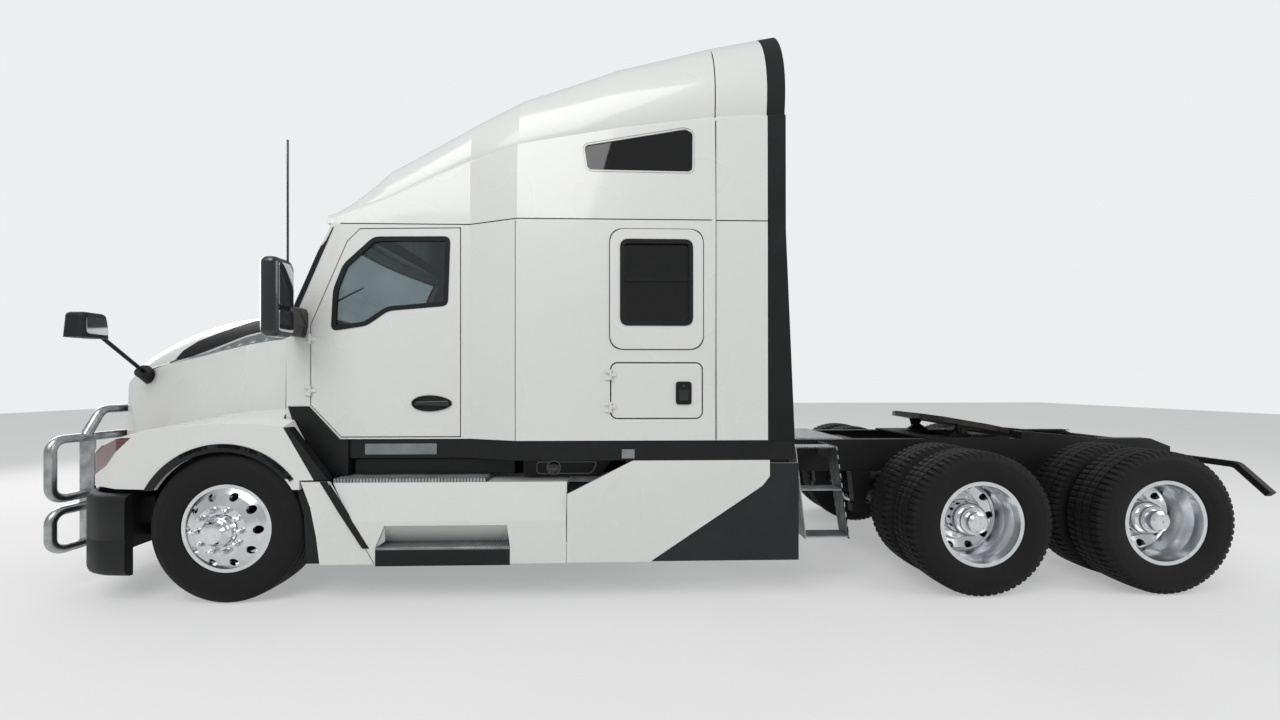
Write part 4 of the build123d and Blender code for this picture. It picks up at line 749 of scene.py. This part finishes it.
NOSE_SEAM = [(-1.10, 1.556), (-0.95, 1.596), (-0.80, 1.640)]
PILLAR_RUBBER = [(0.365, 1.945), (0.462, 2.170), (0.560, 2.400), (0.640, 2.590)]
HOOD_STRIP = [
    (-0.78, 1.644), (-0.48, 1.700), (-0.08, 1.779), (0.20, 1.812), (0.20, 1.906), (-0.15, 1.834),
    (-0.56, 1.704), (-0.70, 1.662),
]

body_skin = shell_of("cab_shell", "sleeper_shell", "roof", "extenders", "door_left", "door_right")
roof_skin = shell_of("roof")
hood_skin = shell_of("hood")
pillar_skin = shell_of("cab_shell")

# Window rubbers, the sleeper window's bar and the groove round its bezel

for side, hand in SIDES:
    place = side_place(hand, CAB_HALF)
    edge = rounded(DOOR_GLASS, 0.038)
    rubber = ring(grown(edge, 0.007), grown(edge, -0.026), -0.014, 0.003, place)
    piece(f"door_glass_rubber_{side}", *rubber, EDGE, f"door_{side}_leaf")
    place = side_place(hand, SLEEPER_HALF)
    edge = rounded(SLEEPER_WINDOW, 0.060, steps=6)
    parts = [ring(edge, grown(edge, -0.030), -0.014, 0.012, place), slab(SLIDER_BAR, -0.011, 0.000, place)]
    piece(f"sleeper_window_rubber_{side}", *merge(parts), EDGE, "truck")
    edge = rounded(BEZEL, 0.095, steps=6)
    groove = ring(grown(edge, 0.006), grown(edge, -0.001), -0.002, 0.0016, place)
    piece(f"bezel_groove_{side}", *groove, BLACK, "truck")
    edge = rounded(ROOF_WINDOW, 0.032)
    rubber = ribbon(roof_skin, grown(edge, 0.004), 0.016, hand, 0.003, closed=True)
    piece(f"roof_window_rubber_{side}", *rubber, EDGE, "truck")

# Body seams, rivets and the baggage latch

SEAMS = [
    # line, width
    ([(0.70, 2.612), (1.60, 2.612), (1.962, 2.612), (3.679, 2.612)], 0.007),
    ([(3.319, 1.102), (3.319, 3.90)], 0.008),
    ([(1.948, 1.102), (1.948, 2.600)], 0.004),
]
RIVET = [(0.0, 0.0055), (0.00132, 0.0044), (0.0022, 0.000825), (0.0022, 0.0)]
RIVET_SPOTS = [(column, 1.135 + 0.1005 * i) for column in (1.985, 3.290, 2.545) for i in range(15)]
RIVET_SPOTS += [(2.03 + 0.1 * i, row) for row in (2.585, 1.128) for i in range(13)]
LOCK = [(0.005, 0.013), (0.010, 0.013), (0.011, 0.010), (0.011, 0.0)]
for side, hand in SIDES:
    outwards = (0, hand, 0)
    parts = [ribbon(body_skin, line, width, hand, 0.0012) for line, width in SEAMS]
    piece(f"body_seams_{side}", *merge(parts), BLACK, "truck")
    rivets = [spun(RIVET, onto_side(body_skin, u, v, hand, -0.0005), outwards, 7) for u, v in RIVET_SPOTS]
    piece(f"body_rivets_{side}", *merge(rivets), ENAMEL, "truck")
    place = side_place(hand, SLEEPER_HALF)
    rim = ring(grown(LATCH, -0.004), grown(LATCH, -0.012), 0.005, 0.010, place)
    latch = merge([slab(LATCH, -0.002, 0.006, place), rim])
    piece(f"baggage_latch_{side}", *latch, BLACK, f"baggage_{side}_leaf")
    paddle = merge([slab(PADDLE, 0.006, 0.013, place), spun(LOCK, place(*LOCK_MIDDLE, 0), outwards, 16)])
    bevel(piece(f"baggage_paddle_{side}", *paddle, GLOSS, f"baggage_{side}_leaf"), 0.002)

# Door handles: a black dished oval, fuller at its front end, with a lever across it

OVAL = []
for step in range(40):
    angle = math.tau * step / 40
    along, up = 0.140 * math.cos(angle), 0.056 * math.sin(angle) * (1 - 0.12 * math.cos(angle))
    OVAL.append((HANDLE_MIDDLE[0] + along, HANDLE_MIDDLE[1] + up))
for side, hand in SIDES:
    place = side_place(hand, CAB_HALF)
    rim = ring(OVAL, grown(OVAL, -0.010), -0.002, 0.008, place)
    dish = merge([rim, slab(grown(OVAL, -0.009), -0.002, 0.0015, place)])
    piece(f"door_handle_dish_{side}", *dish, BLACK, f"door_{side}_leaf")
    lever = slab(rounded(HANDLE_LEVER, 0.012), 0.003, 0.020, place)
    bevel(piece(f"door_handle_lever_{side}", *lever, GLOSS, f"door_{side}_leaf"), 0.005, 3)

# Hood: satin strip under the intake, seam to the nose, arch moulding drawn wider over the fender's skin

ARCH_R = 0.5635
ARCH = [math.radians(36 + 3.2 * step) for step in range(35)]
ARCH = [(ARCH_R * math.cos(angle), AXLE_Z + ARCH_R * math.sin(angle)) for angle in ARCH]
for side, hand in SIDES:
    piece(f"hood_strip_{side}", *patch(hood_skin, HOOD_STRIP, hand, 0.005, 0.018), SATIN, "hood_lid")
    piece(f"nose_seam_{side}", *ribbon(hood_skin, NOSE_SEAM, 0.006, hand, 0.001), BLACK, "hood_lid")
    piece(f"arch_moulding_{side}", *ribbon(hood_skin, ARCH, 0.030, hand, 0.006), SLATE, "hood_lid")

# Cab: rubber down each windshield pillar, bare plate on each sill

for side, hand in SIDES:
    strip = ribbon(pillar_skin, PILLAR_RUBBER, 0.034, hand, 0.006)
    piece(f"pillar_rubber_{side}", *strip, EDGE, "truck")
    plate = slab(rounded(BARE_PLATE, 0.008), 0.0, 0.004, side_place(hand, 1.054))
    bevel(piece(f"sill_plate_{side}", *plate, SATIN, "truck"), 0.0015)

# Fairings: dark band behind the wheel, painted recess, riser and tread nosing of the lower step

BAND = [
    # height, front edge, rear edge, half width
    (0.826, 0.640, 0.694, 1.197), (0.720, 0.706, 0.762, 1.199), (0.624, 0.766, 0.824, 1.203),
    (0.530, 0.828, 0.884, 1.205), (0.437, 0.888, 0.940, 1.205), (0.380, 0.925, 0.976, 1.205),
]
for side, hand in SIDES:
    points = []
    for height, front, rear, half in BAND:
        edges = ((front, 0.014), (front + 0.004, 0.0), (rear - 0.004, 0.0), (rear, 0.014))
        points += [(at(behind), hand * (half - inset), height) for behind, inset in edges]
    faces = lattice(len(BAND), 4, False, True) + caps(4, len(points))
    piece(f"fairing_band_{side}", points, faces, BLACK, "truck")
    recess = [
        (at(1.018), hand * 1.076, 0.388), (at(1.908), hand * 1.076, 0.388), (at(1.890), hand * 1.196, 0.534),
        (at(1.074), hand * 1.196, 0.534),
    ]
    sunk = [(x, y - hand * 0.006, z - 0.004) for x, y, z in recess]
    faces = [(0, 1, 2, 3), (7, 6, 5, 4)] + [(i, 4 + i, 4 + (i + 1) % 4, (i + 1) % 4) for i in range(4)]
    piece(f"step_recess_{side}", recess + sunk, faces, ENAMEL, "truck")
    place = side_place(hand, SLEEPER_HALF)
    riser = slab(box_outline(1.014, 0.259, 1.912, 0.366), -0.002, 0.005, place)
    bevel(piece(f"step_riser_{side}", *riser, BLACK, "truck"), 0.003)
    nosing = slab(box_outline(1.014, 0.368, 1.912, 0.386), -0.004, 0.006, place)
    bevel(piece(f"step_nosing_{side}", *nosing, MILL, "truck"), 0.003)
    bars = [
        tall_box((at(0.716), hand * y, 0.837), (at(1.730), hand * (y + 0.012), 0.843))
        for y in (0.925, 0.975, 1.025, 1.075, 1.125)
    ]
    piece(f"tread_bars_{side}", *merge(bars), MILL, "truck")

# Boxes under the sill: a long lid, and a lid with the filler's cap; a socket on the sill above them

BOX_LIDS = [
    box_outline(0.78, 0.850, 1.905, 0.958), [(1.965, 0.822), (2.520, 0.822), (2.600, 0.950), (1.965, 0.950)],
]
FILLER_POCKET = rounded([(2.06, 0.842), (2.46, 0.842), (2.50, 0.932), (2.06, 0.932)], 0.03)
FILLER_CAP = [(0.012, 0.052), (0.020, 0.052), (0.020, 0.042), (0.032, 0.040), (0.036, 0.034), (0.036, 0.0)]
for side, hand in SIDES:
    place = side_place(hand, 1.010)
    lids = [slab(rounded(lid, 0.02), 0.0, 0.012, place) for lid in BOX_LIDS]
    bevel(piece(f"box_lids_{side}", *merge(lids), BLACK, "truck"), 0.004)
    pocket = ring(FILLER_POCKET, grown(FILLER_POCKET, -0.008), 0.011, 0.018, place)
    cap = spun(FILLER_CAP, place(2.185, 0.888, 0), (0, hand, 0), 28)
    grip = tall_box(place(2.150, 0.883, 0.030), place(2.220, 0.893, 0.045))
    piece(f"filler_cap_{side}", *merge([pocket, cap, grip]), GLOSS, "truck", sharp=35)
    socket = slab(box_outline(2.672, 0.978, 2.760, 1.040), 0.0, 0.008, side_place(hand, 1.194))
    bevel(piece(f"sill_socket_{side}", *socket, MILL, "truck"), 0.002)

# Mirrors: brackets on the cowl, silvered glass in the rear faces


def rear_place(hand, face, lean=0.0, foot=0.0):
    """Outlines in (out from the middle, height) on a face that looks back and leans over its foot."""
    return lambda u, v, d: (at(face + d - (v - foot) * lean), hand * u, v)


MIRROR_BRACKET = [
    (0.375, 1.812), (0.470, 1.806), (0.476, 1.925), (0.472, 2.010), (0.420, 2.020), (0.392, 1.930),
]
MIRROR_FACE, HOOD_MIRROR_FACE = 0.5135, -0.7715
HOOD_MIRROR = [(1.160, 1.812), (1.290, 1.812), (1.284, 1.925), (1.166, 1.925)]
for side, hand in SIDES:
    arm = slab(rounded(MIRROR_BRACKET, 0.02), 0.0, 0.225, side_place(hand, 1.030))
    bevel(piece(f"mirror_bracket_{side}", *arm, GLOSS, "truck"), 0.012, 3)
    for name, low, high in (("mirror_glass", 1.985, 2.262), ("spotter_glass", 1.822, 1.962)):
        outline = rounded(box_outline(1.262, low, 1.392, high), 0.022)
        glass = slab(outline, 0.0, 0.0035, rear_place(hand, MIRROR_FACE))
        piece(f"{name}_{side}", *glass, SILVERED, "truck")
    place = rear_place(hand, HOOD_MIRROR_FACE, lean=0.07, foot=1.8)
    glass = slab(rounded(HOOD_MIRROR, 0.02), 0.0, 0.004, place)
    piece(f"hood_mirror_glass_{side}", *glass, SILVERED, "hood_lid")

# Windshield: rubber in the gap between glass and cab, wiper arms and blades lying on the glass

glass_skin = shell_of("cab_glass")


def onto_front(tree, y, z, lift):
    """Point of a tree's front at a place of the front view, lifted forwards; None beside the tree."""
    hit = tree.ray_cast(Vector((at(-CLEAR_OF_PART), y, z)), Vector((1, 0, 0)))[0]
    return Vector((hit.x - lift, y, z)) if hit else None


WINDSHIELD = [(-0.930, 1.990), (0.930, 1.990), (0.880, 2.566), (-0.880, 2.566)]
RUBBER_R, RUBBER_SIDES = 0.008, 8
edge = spaced(rounded(grown(WINDSHIELD, -0.004), 0.02), LAY_STEP, closed=True)
path = [onto_front(glass_skin, y, z, 0.004) for y, z in edge]
points = []
for before, here, after in zip(path[-1:] + path, path, path[1:] + path[:1]):
    along = (after - before).normalized()
    across = along.cross(Vector((1, 0, 0))).normalized()
    up = across.cross(along)
    for step in range(RUBBER_SIDES):
        angle = math.tau * step / RUBBER_SIDES
        points.append(tuple(here + (across * math.cos(angle) + up * math.sin(angle)) * RUBBER_R))
piece("windshield_rubber", points, lattice(len(path), RUBBER_SIDES, True, True), EDGE, "truck", sharp=60)

WIPERS = [("wiper_left", (-0.62, 2.03), (-0.12, 2.34)), ("wiper_right", (0.12, 1.98), (0.62, 2.26))]
for name, foot, tip in WIPERS:
    foot, tip = Vector(foot), Vector(tip)
    run = [onto_front(glass_skin, *foot.lerp(tip, step / 5), 0.020) for step in range(6)]
    run = [spot for spot in run if spot]  # the right wiper's foot lies below the glass
    tube(f"{name}_blade", run, 0.008, EDGE, "truck", sides=8)
    arm = [run[0] + Vector((-0.02, 0.0, -0.12)), run[0] + Vector((-0.015, 0, 0)), run[2]]
    tube(f"{name}_arm", arm, 0.007, BLACK, "truck", bend=0.03)

# Bumper: a bowed moulding with rounded edges over the solid one


def smooth_line(corners, steps=6):
    """Curve through corners: a Catmull-Rom line with its ends drawn out straight."""
    line = [Vector(c) for c in corners]
    line = [2 * line[0] - line[1]] + line + [2 * line[-1] - line[-2]]
    made = []
    for a, b, c, d in zip(line, line[1:], line[2:], line[3:]):
        for step in range(steps):
            t = step / steps
            bend = (2 * a - 5 * b + 4 * c - d) * t**2 + (3 * b - a - 3 * c + d) * t**3
            made.append(0.5 * (2 * b + (c - a) * t + bend))
    return made + [line[-2]]


BUMPER_PLAN = [
    # behind the front axle, out from the middle
    (-1.279, 0.0), (-1.279, 0.22), (-1.274, 0.44), (-1.248, 0.63), (-1.196, 0.81), (-1.120, 0.95),
    (-1.022, 1.062), (-0.940, 1.118), (-0.850, 1.156), (-0.760, 1.170), (-0.652, 1.176),
]
BUMPER_FACE = [
    # height, inset
    (0.190, 0.055), (0.192, 0.030), (0.205, 0.010), (0.235, 0.0), (0.420, 0.0), (0.426, 0.006),
    (0.436, 0.006), (0.442, 0.0), (0.690, 0.0), (0.722, 0.008), (0.738, 0.026), (0.743, 0.055),
]
half_line = smooth_line(BUMPER_PLAN)
plan = [Vector((p.x, -p.y)) for p in half_line[:0:-1]] + half_line
points = []
for before, here, after in zip(plan[:1] + plan, plan, plan[1:] + plan[-1:]):
    along = (after - before).normalized()
    inward = Vector((along.y, -along.x))
    for height, inset in BUMPER_FACE:
        x, y = here + inward * inset
        points.append((at(x), y, height))
faces = lattice(len(plan), len(BUMPER_FACE), False, True) + caps(len(BUMPER_FACE), len(points))
moulding = piece("bumper_moulding", points, faces, BLACK, "truck", sharp=50)
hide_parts("bumper")

# Rear lamps: red lenses over the housings

REAR_LENS = [(0.0, 0.050), (0.006, 0.050), (0.012, 0.044), (0.016, 0.030), (0.018, 0.0)]
for side, hand in SIDES:
    for number, y in enumerate((0.20, 0.33)):
        lens = spun(REAR_LENS, (at(7.416), hand * y, 0.875), (1, 0, 0), 28)
        piece(f"rear_lens_{number}_{side}", *lens, RED_LENS, "truck", sharp=35)

# Seats and mattress: padded pieces in the place of the plain solids

LAYERS = 12
STITCH_WIDTH, STITCH_DEPTH = 0.022, 0.012


def cushion(half, power, crown_height, tuck, channels, cells):
    """Stuffed block: crowned top with stitched channels lengthways, sides pulled in at mid height."""
    points, faces = [], []
    index = {}

    def spot(i, j, k):
        """Number of a place of the block's grid; its point is made at the first call."""
        if (i, j, k) in index:
            return index[i, j, k]
        p = Vector((2 * i / cells - 1, 2 * j / cells - 1, 2 * k / LAYERS - 1))
        norm = sum(abs(c) ** power for c in p) ** (1 / power)
        q = p / norm
        q *= 1 - 0.10 * max(0.0, norm - 1)
        rim = max(abs(q.x), abs(q.y))
        pull = 1 - tuck * (1 - abs(q.z)) * rim**8
        height = q.z
        if q.z > 0:
            swell = (1 - q.x**4) * (1 - q.y**4)
            stitch = sum(math.exp(-(((q.y - line) / STITCH_WIDTH) ** 2)) for line in channels)
            height += (crown_height * swell - STITCH_DEPTH * stitch * min(1, 3 * (1 - rim))) / half[2]
        index[i, j, k] = len(points)
        points.append((q.x * pull * half[0], q.y * pull * half[1], height * half[2]))
        return index[i, j, k]

    def quad(*corners):
        """One face between four places of the grid."""
        faces.append(tuple(spot(*corner) for corner in corners))

    for i in range(cells):
        for j in range(cells):
            quad((i, j, LAYERS), (i + 1, j, LAYERS), (i + 1, j + 1, LAYERS), (i, j + 1, LAYERS))
            quad((i, j, 0), (i, j + 1, 0), (i + 1, j + 1, 0), (i + 1, j, 0))
    for k in range(LAYERS):
        for i in range(cells):
            quad((i, 0, k), (i + 1, 0, k), (i + 1, 0, k + 1), (i, 0, k + 1))
            quad((i, cells, k), (i, cells, k + 1), (i + 1, cells, k + 1), (i + 1, cells, k))
            quad((0, i, k), (0, i, k + 1), (0, i + 1, k + 1), (0, i + 1, k))
            quad((cells, i, k), (cells, i + 1, k), (cells, i + 1, k + 1), (cells, i, k + 1))
    return points, faces


def set_down(made, middle, lean=0.0):
    """Turns a cushion about the vehicle's cross axis and moves it to its middle."""
    points, faces = made
    turn = Matrix.Rotation(lean, 3, "Y")
    return [tuple(turn @ Vector(p) + Vector(middle)) for p in points], faces


SEAT_Y = 0.52
BUNK_BOARD = tall_box((at(2.352), -1.143, 1.651), (at(3.262), 1.143, 1.689))
STANDS = [
    # front, rear, half width, low, high
    (1.130, 1.470, 0.20, 1.157, 1.250),
    (1.180, 1.430, 0.15, 1.250, 1.440),
    (1.060, 1.520, 0.22, 1.440, 1.502),
]
frames = [BUNK_BOARD]
for y in (-SEAT_Y, SEAT_Y):
    for front, rear, half, low, high in STANDS:
        frames.append(tall_box((at(front), y - half, low), (at(rear), y + half, high)))
    for post in (y - 0.07, y + 0.07):
        frames.append(tall_box((at(1.622), post - 0.007, 2.140), (at(1.636), post + 0.007, 2.270)))
base = bevel(piece("seat_stands_and_board", *merge(frames), TRIM, "truck"), 0.003)
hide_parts("seats_and_bunk")

PADS = [
    # name, half sizes, behind the front axle, height, lean in degrees, crown, channels
    ("seat_cushion", (0.262, 0.245, 0.074), 1.277, 1.578, 3, 0.018, (-0.62, -0.2, 0.2, 0.62)),
    ("seat_back", (0.290, 0.245, 0.054), 1.564, 1.925, -79, 0.020, (-0.62, -0.2, 0.2, 0.62)),
    ("head_rest", (0.064, 0.150, 0.046), 1.630, 2.274, -79, 0.012, ()),
]
for side, hand in SIDES:
    for name, half, behind, height, lean, crown_height, channels in PADS:
        made = cushion(half, 7, crown_height, 0.045, channels, cells=36)
        made = set_down(made, (at(behind), hand * SEAT_Y, height), math.radians(lean))
        pad = piece(f"{name}_{side}", *made, CLOTH, "truck", sharp=60)
mattress = cushion((0.440, 1.112, 0.078), 9, 0.012, 0.02, (-0.66, -0.33, 0.0, 0.33, 0.66), cells=64)
mattress = set_down(mattress, (at(2.812), 0.0, 1.769))
pad = piece("bunk_mattress", *mattress, CLOTH, "truck", sharp=60)

# Floor and studio

GROUND = 30


def floor_material():
    """Plain pale floor: shows near white to the camera and in reflections, and keeps the shadow."""
    stops = [(0.3, "D9D9D7"), (0.7, "DEDEDC")]
    material = finish("studio_floor", film=(2000, 3), stops=stops, Roughness=0.95)
    tree = material.node_tree
    lit = add(tree, "ShaderNodeEmission", {"Color": colour("F2F3F3"), "Strength": 0.9}).outputs["Emission"]
    rays = add(tree, "ShaderNodeLightPath").outputs
    sockets = {0: rays["Is Camera Ray"], 1: rays["Is Glossy Ray"]}
    seen = add(tree, "ShaderNodeMath", sockets, operation="MAXIMUM").outputs["Value"]
    share = add(tree, "ShaderNodeMath", {0: seen, 1: 0.45}, operation="MULTIPLY").outputs["Value"]
    sockets = {0: share, 1: tree.nodes["Principled BSDF"].outputs["BSDF"], 2: lit}
    mixed = add(tree, "ShaderNodeMixShader", sockets).outputs["Shader"]
    tree.links.new(mixed, tree.nodes["Material Output"].inputs["Surface"])
    return material


floor = bpy.data.meshes.new("floor")
floor.from_pydata([(x, y, 0) for x, y in box_outline(-GROUND, -GROUND, GROUND, GROUND)], [], [(0, 1, 2, 3)])
floor.materials.append(floor_material())
floor_object = bpy.data.objects.new("floor", floor)
bpy.context.scene.collection.objects.link(floor_object)

world = bpy.data.worlds.new("studio")
bpy.context.scene.world = world
world.use_nodes = True
tree = world.node_tree
background = tree.nodes["Background"]
rays = add(tree, "ShaderNodeLightPath").outputs
sockets = {0: rays["Is Camera Ray"], 1: rays["Is Transmission Ray"]}
seen = add(tree, "ShaderNodeMath", sockets, operation="MAXIMUM").outputs["Value"]
strength = add(tree, "ShaderNodeMapRange", {"Value": seen, "To Min": 0.55, "To Max": 0.93}).outputs["Result"]
background.inputs["Color"].default_value = colour("F4F6F8")
tree.links.new(strength, background.inputs["Strength"])

LAMPS = [
    ("key_softbox", (-3.5, -7.0, 8.5), (0.0, 0.0, 1.5), 7.0, 620),
    ("rear_softbox", (8.5, -4.0, 6.0), (2.0, 0.0, 1.2), 5.0, 260),
    ("front_softbox", (-10.0, 3.0, 5.0), (-2.0, 0.0, 1.5), 5.0, 300),
    ("far_softbox", (2.0, 9.0, 7.0), (0.0, 0.0, 1.5), 6.0, 300),
]
for name, place, aim, size, power in LAMPS:
    lamp = bpy.data.lights.new(name, "AREA")
    lamp.size = size
    lamp.energy = power
    made = bpy.data.objects.new(name, lamp)
    made.location = place
    made.rotation_euler = (Vector(aim) - Vector(place)).to_track_quat("-Z", "Y").to_euler()
    bpy.context.scene.collection.objects.link(made)

bpy.context.scene.view_settings.view_transform = "Standard"
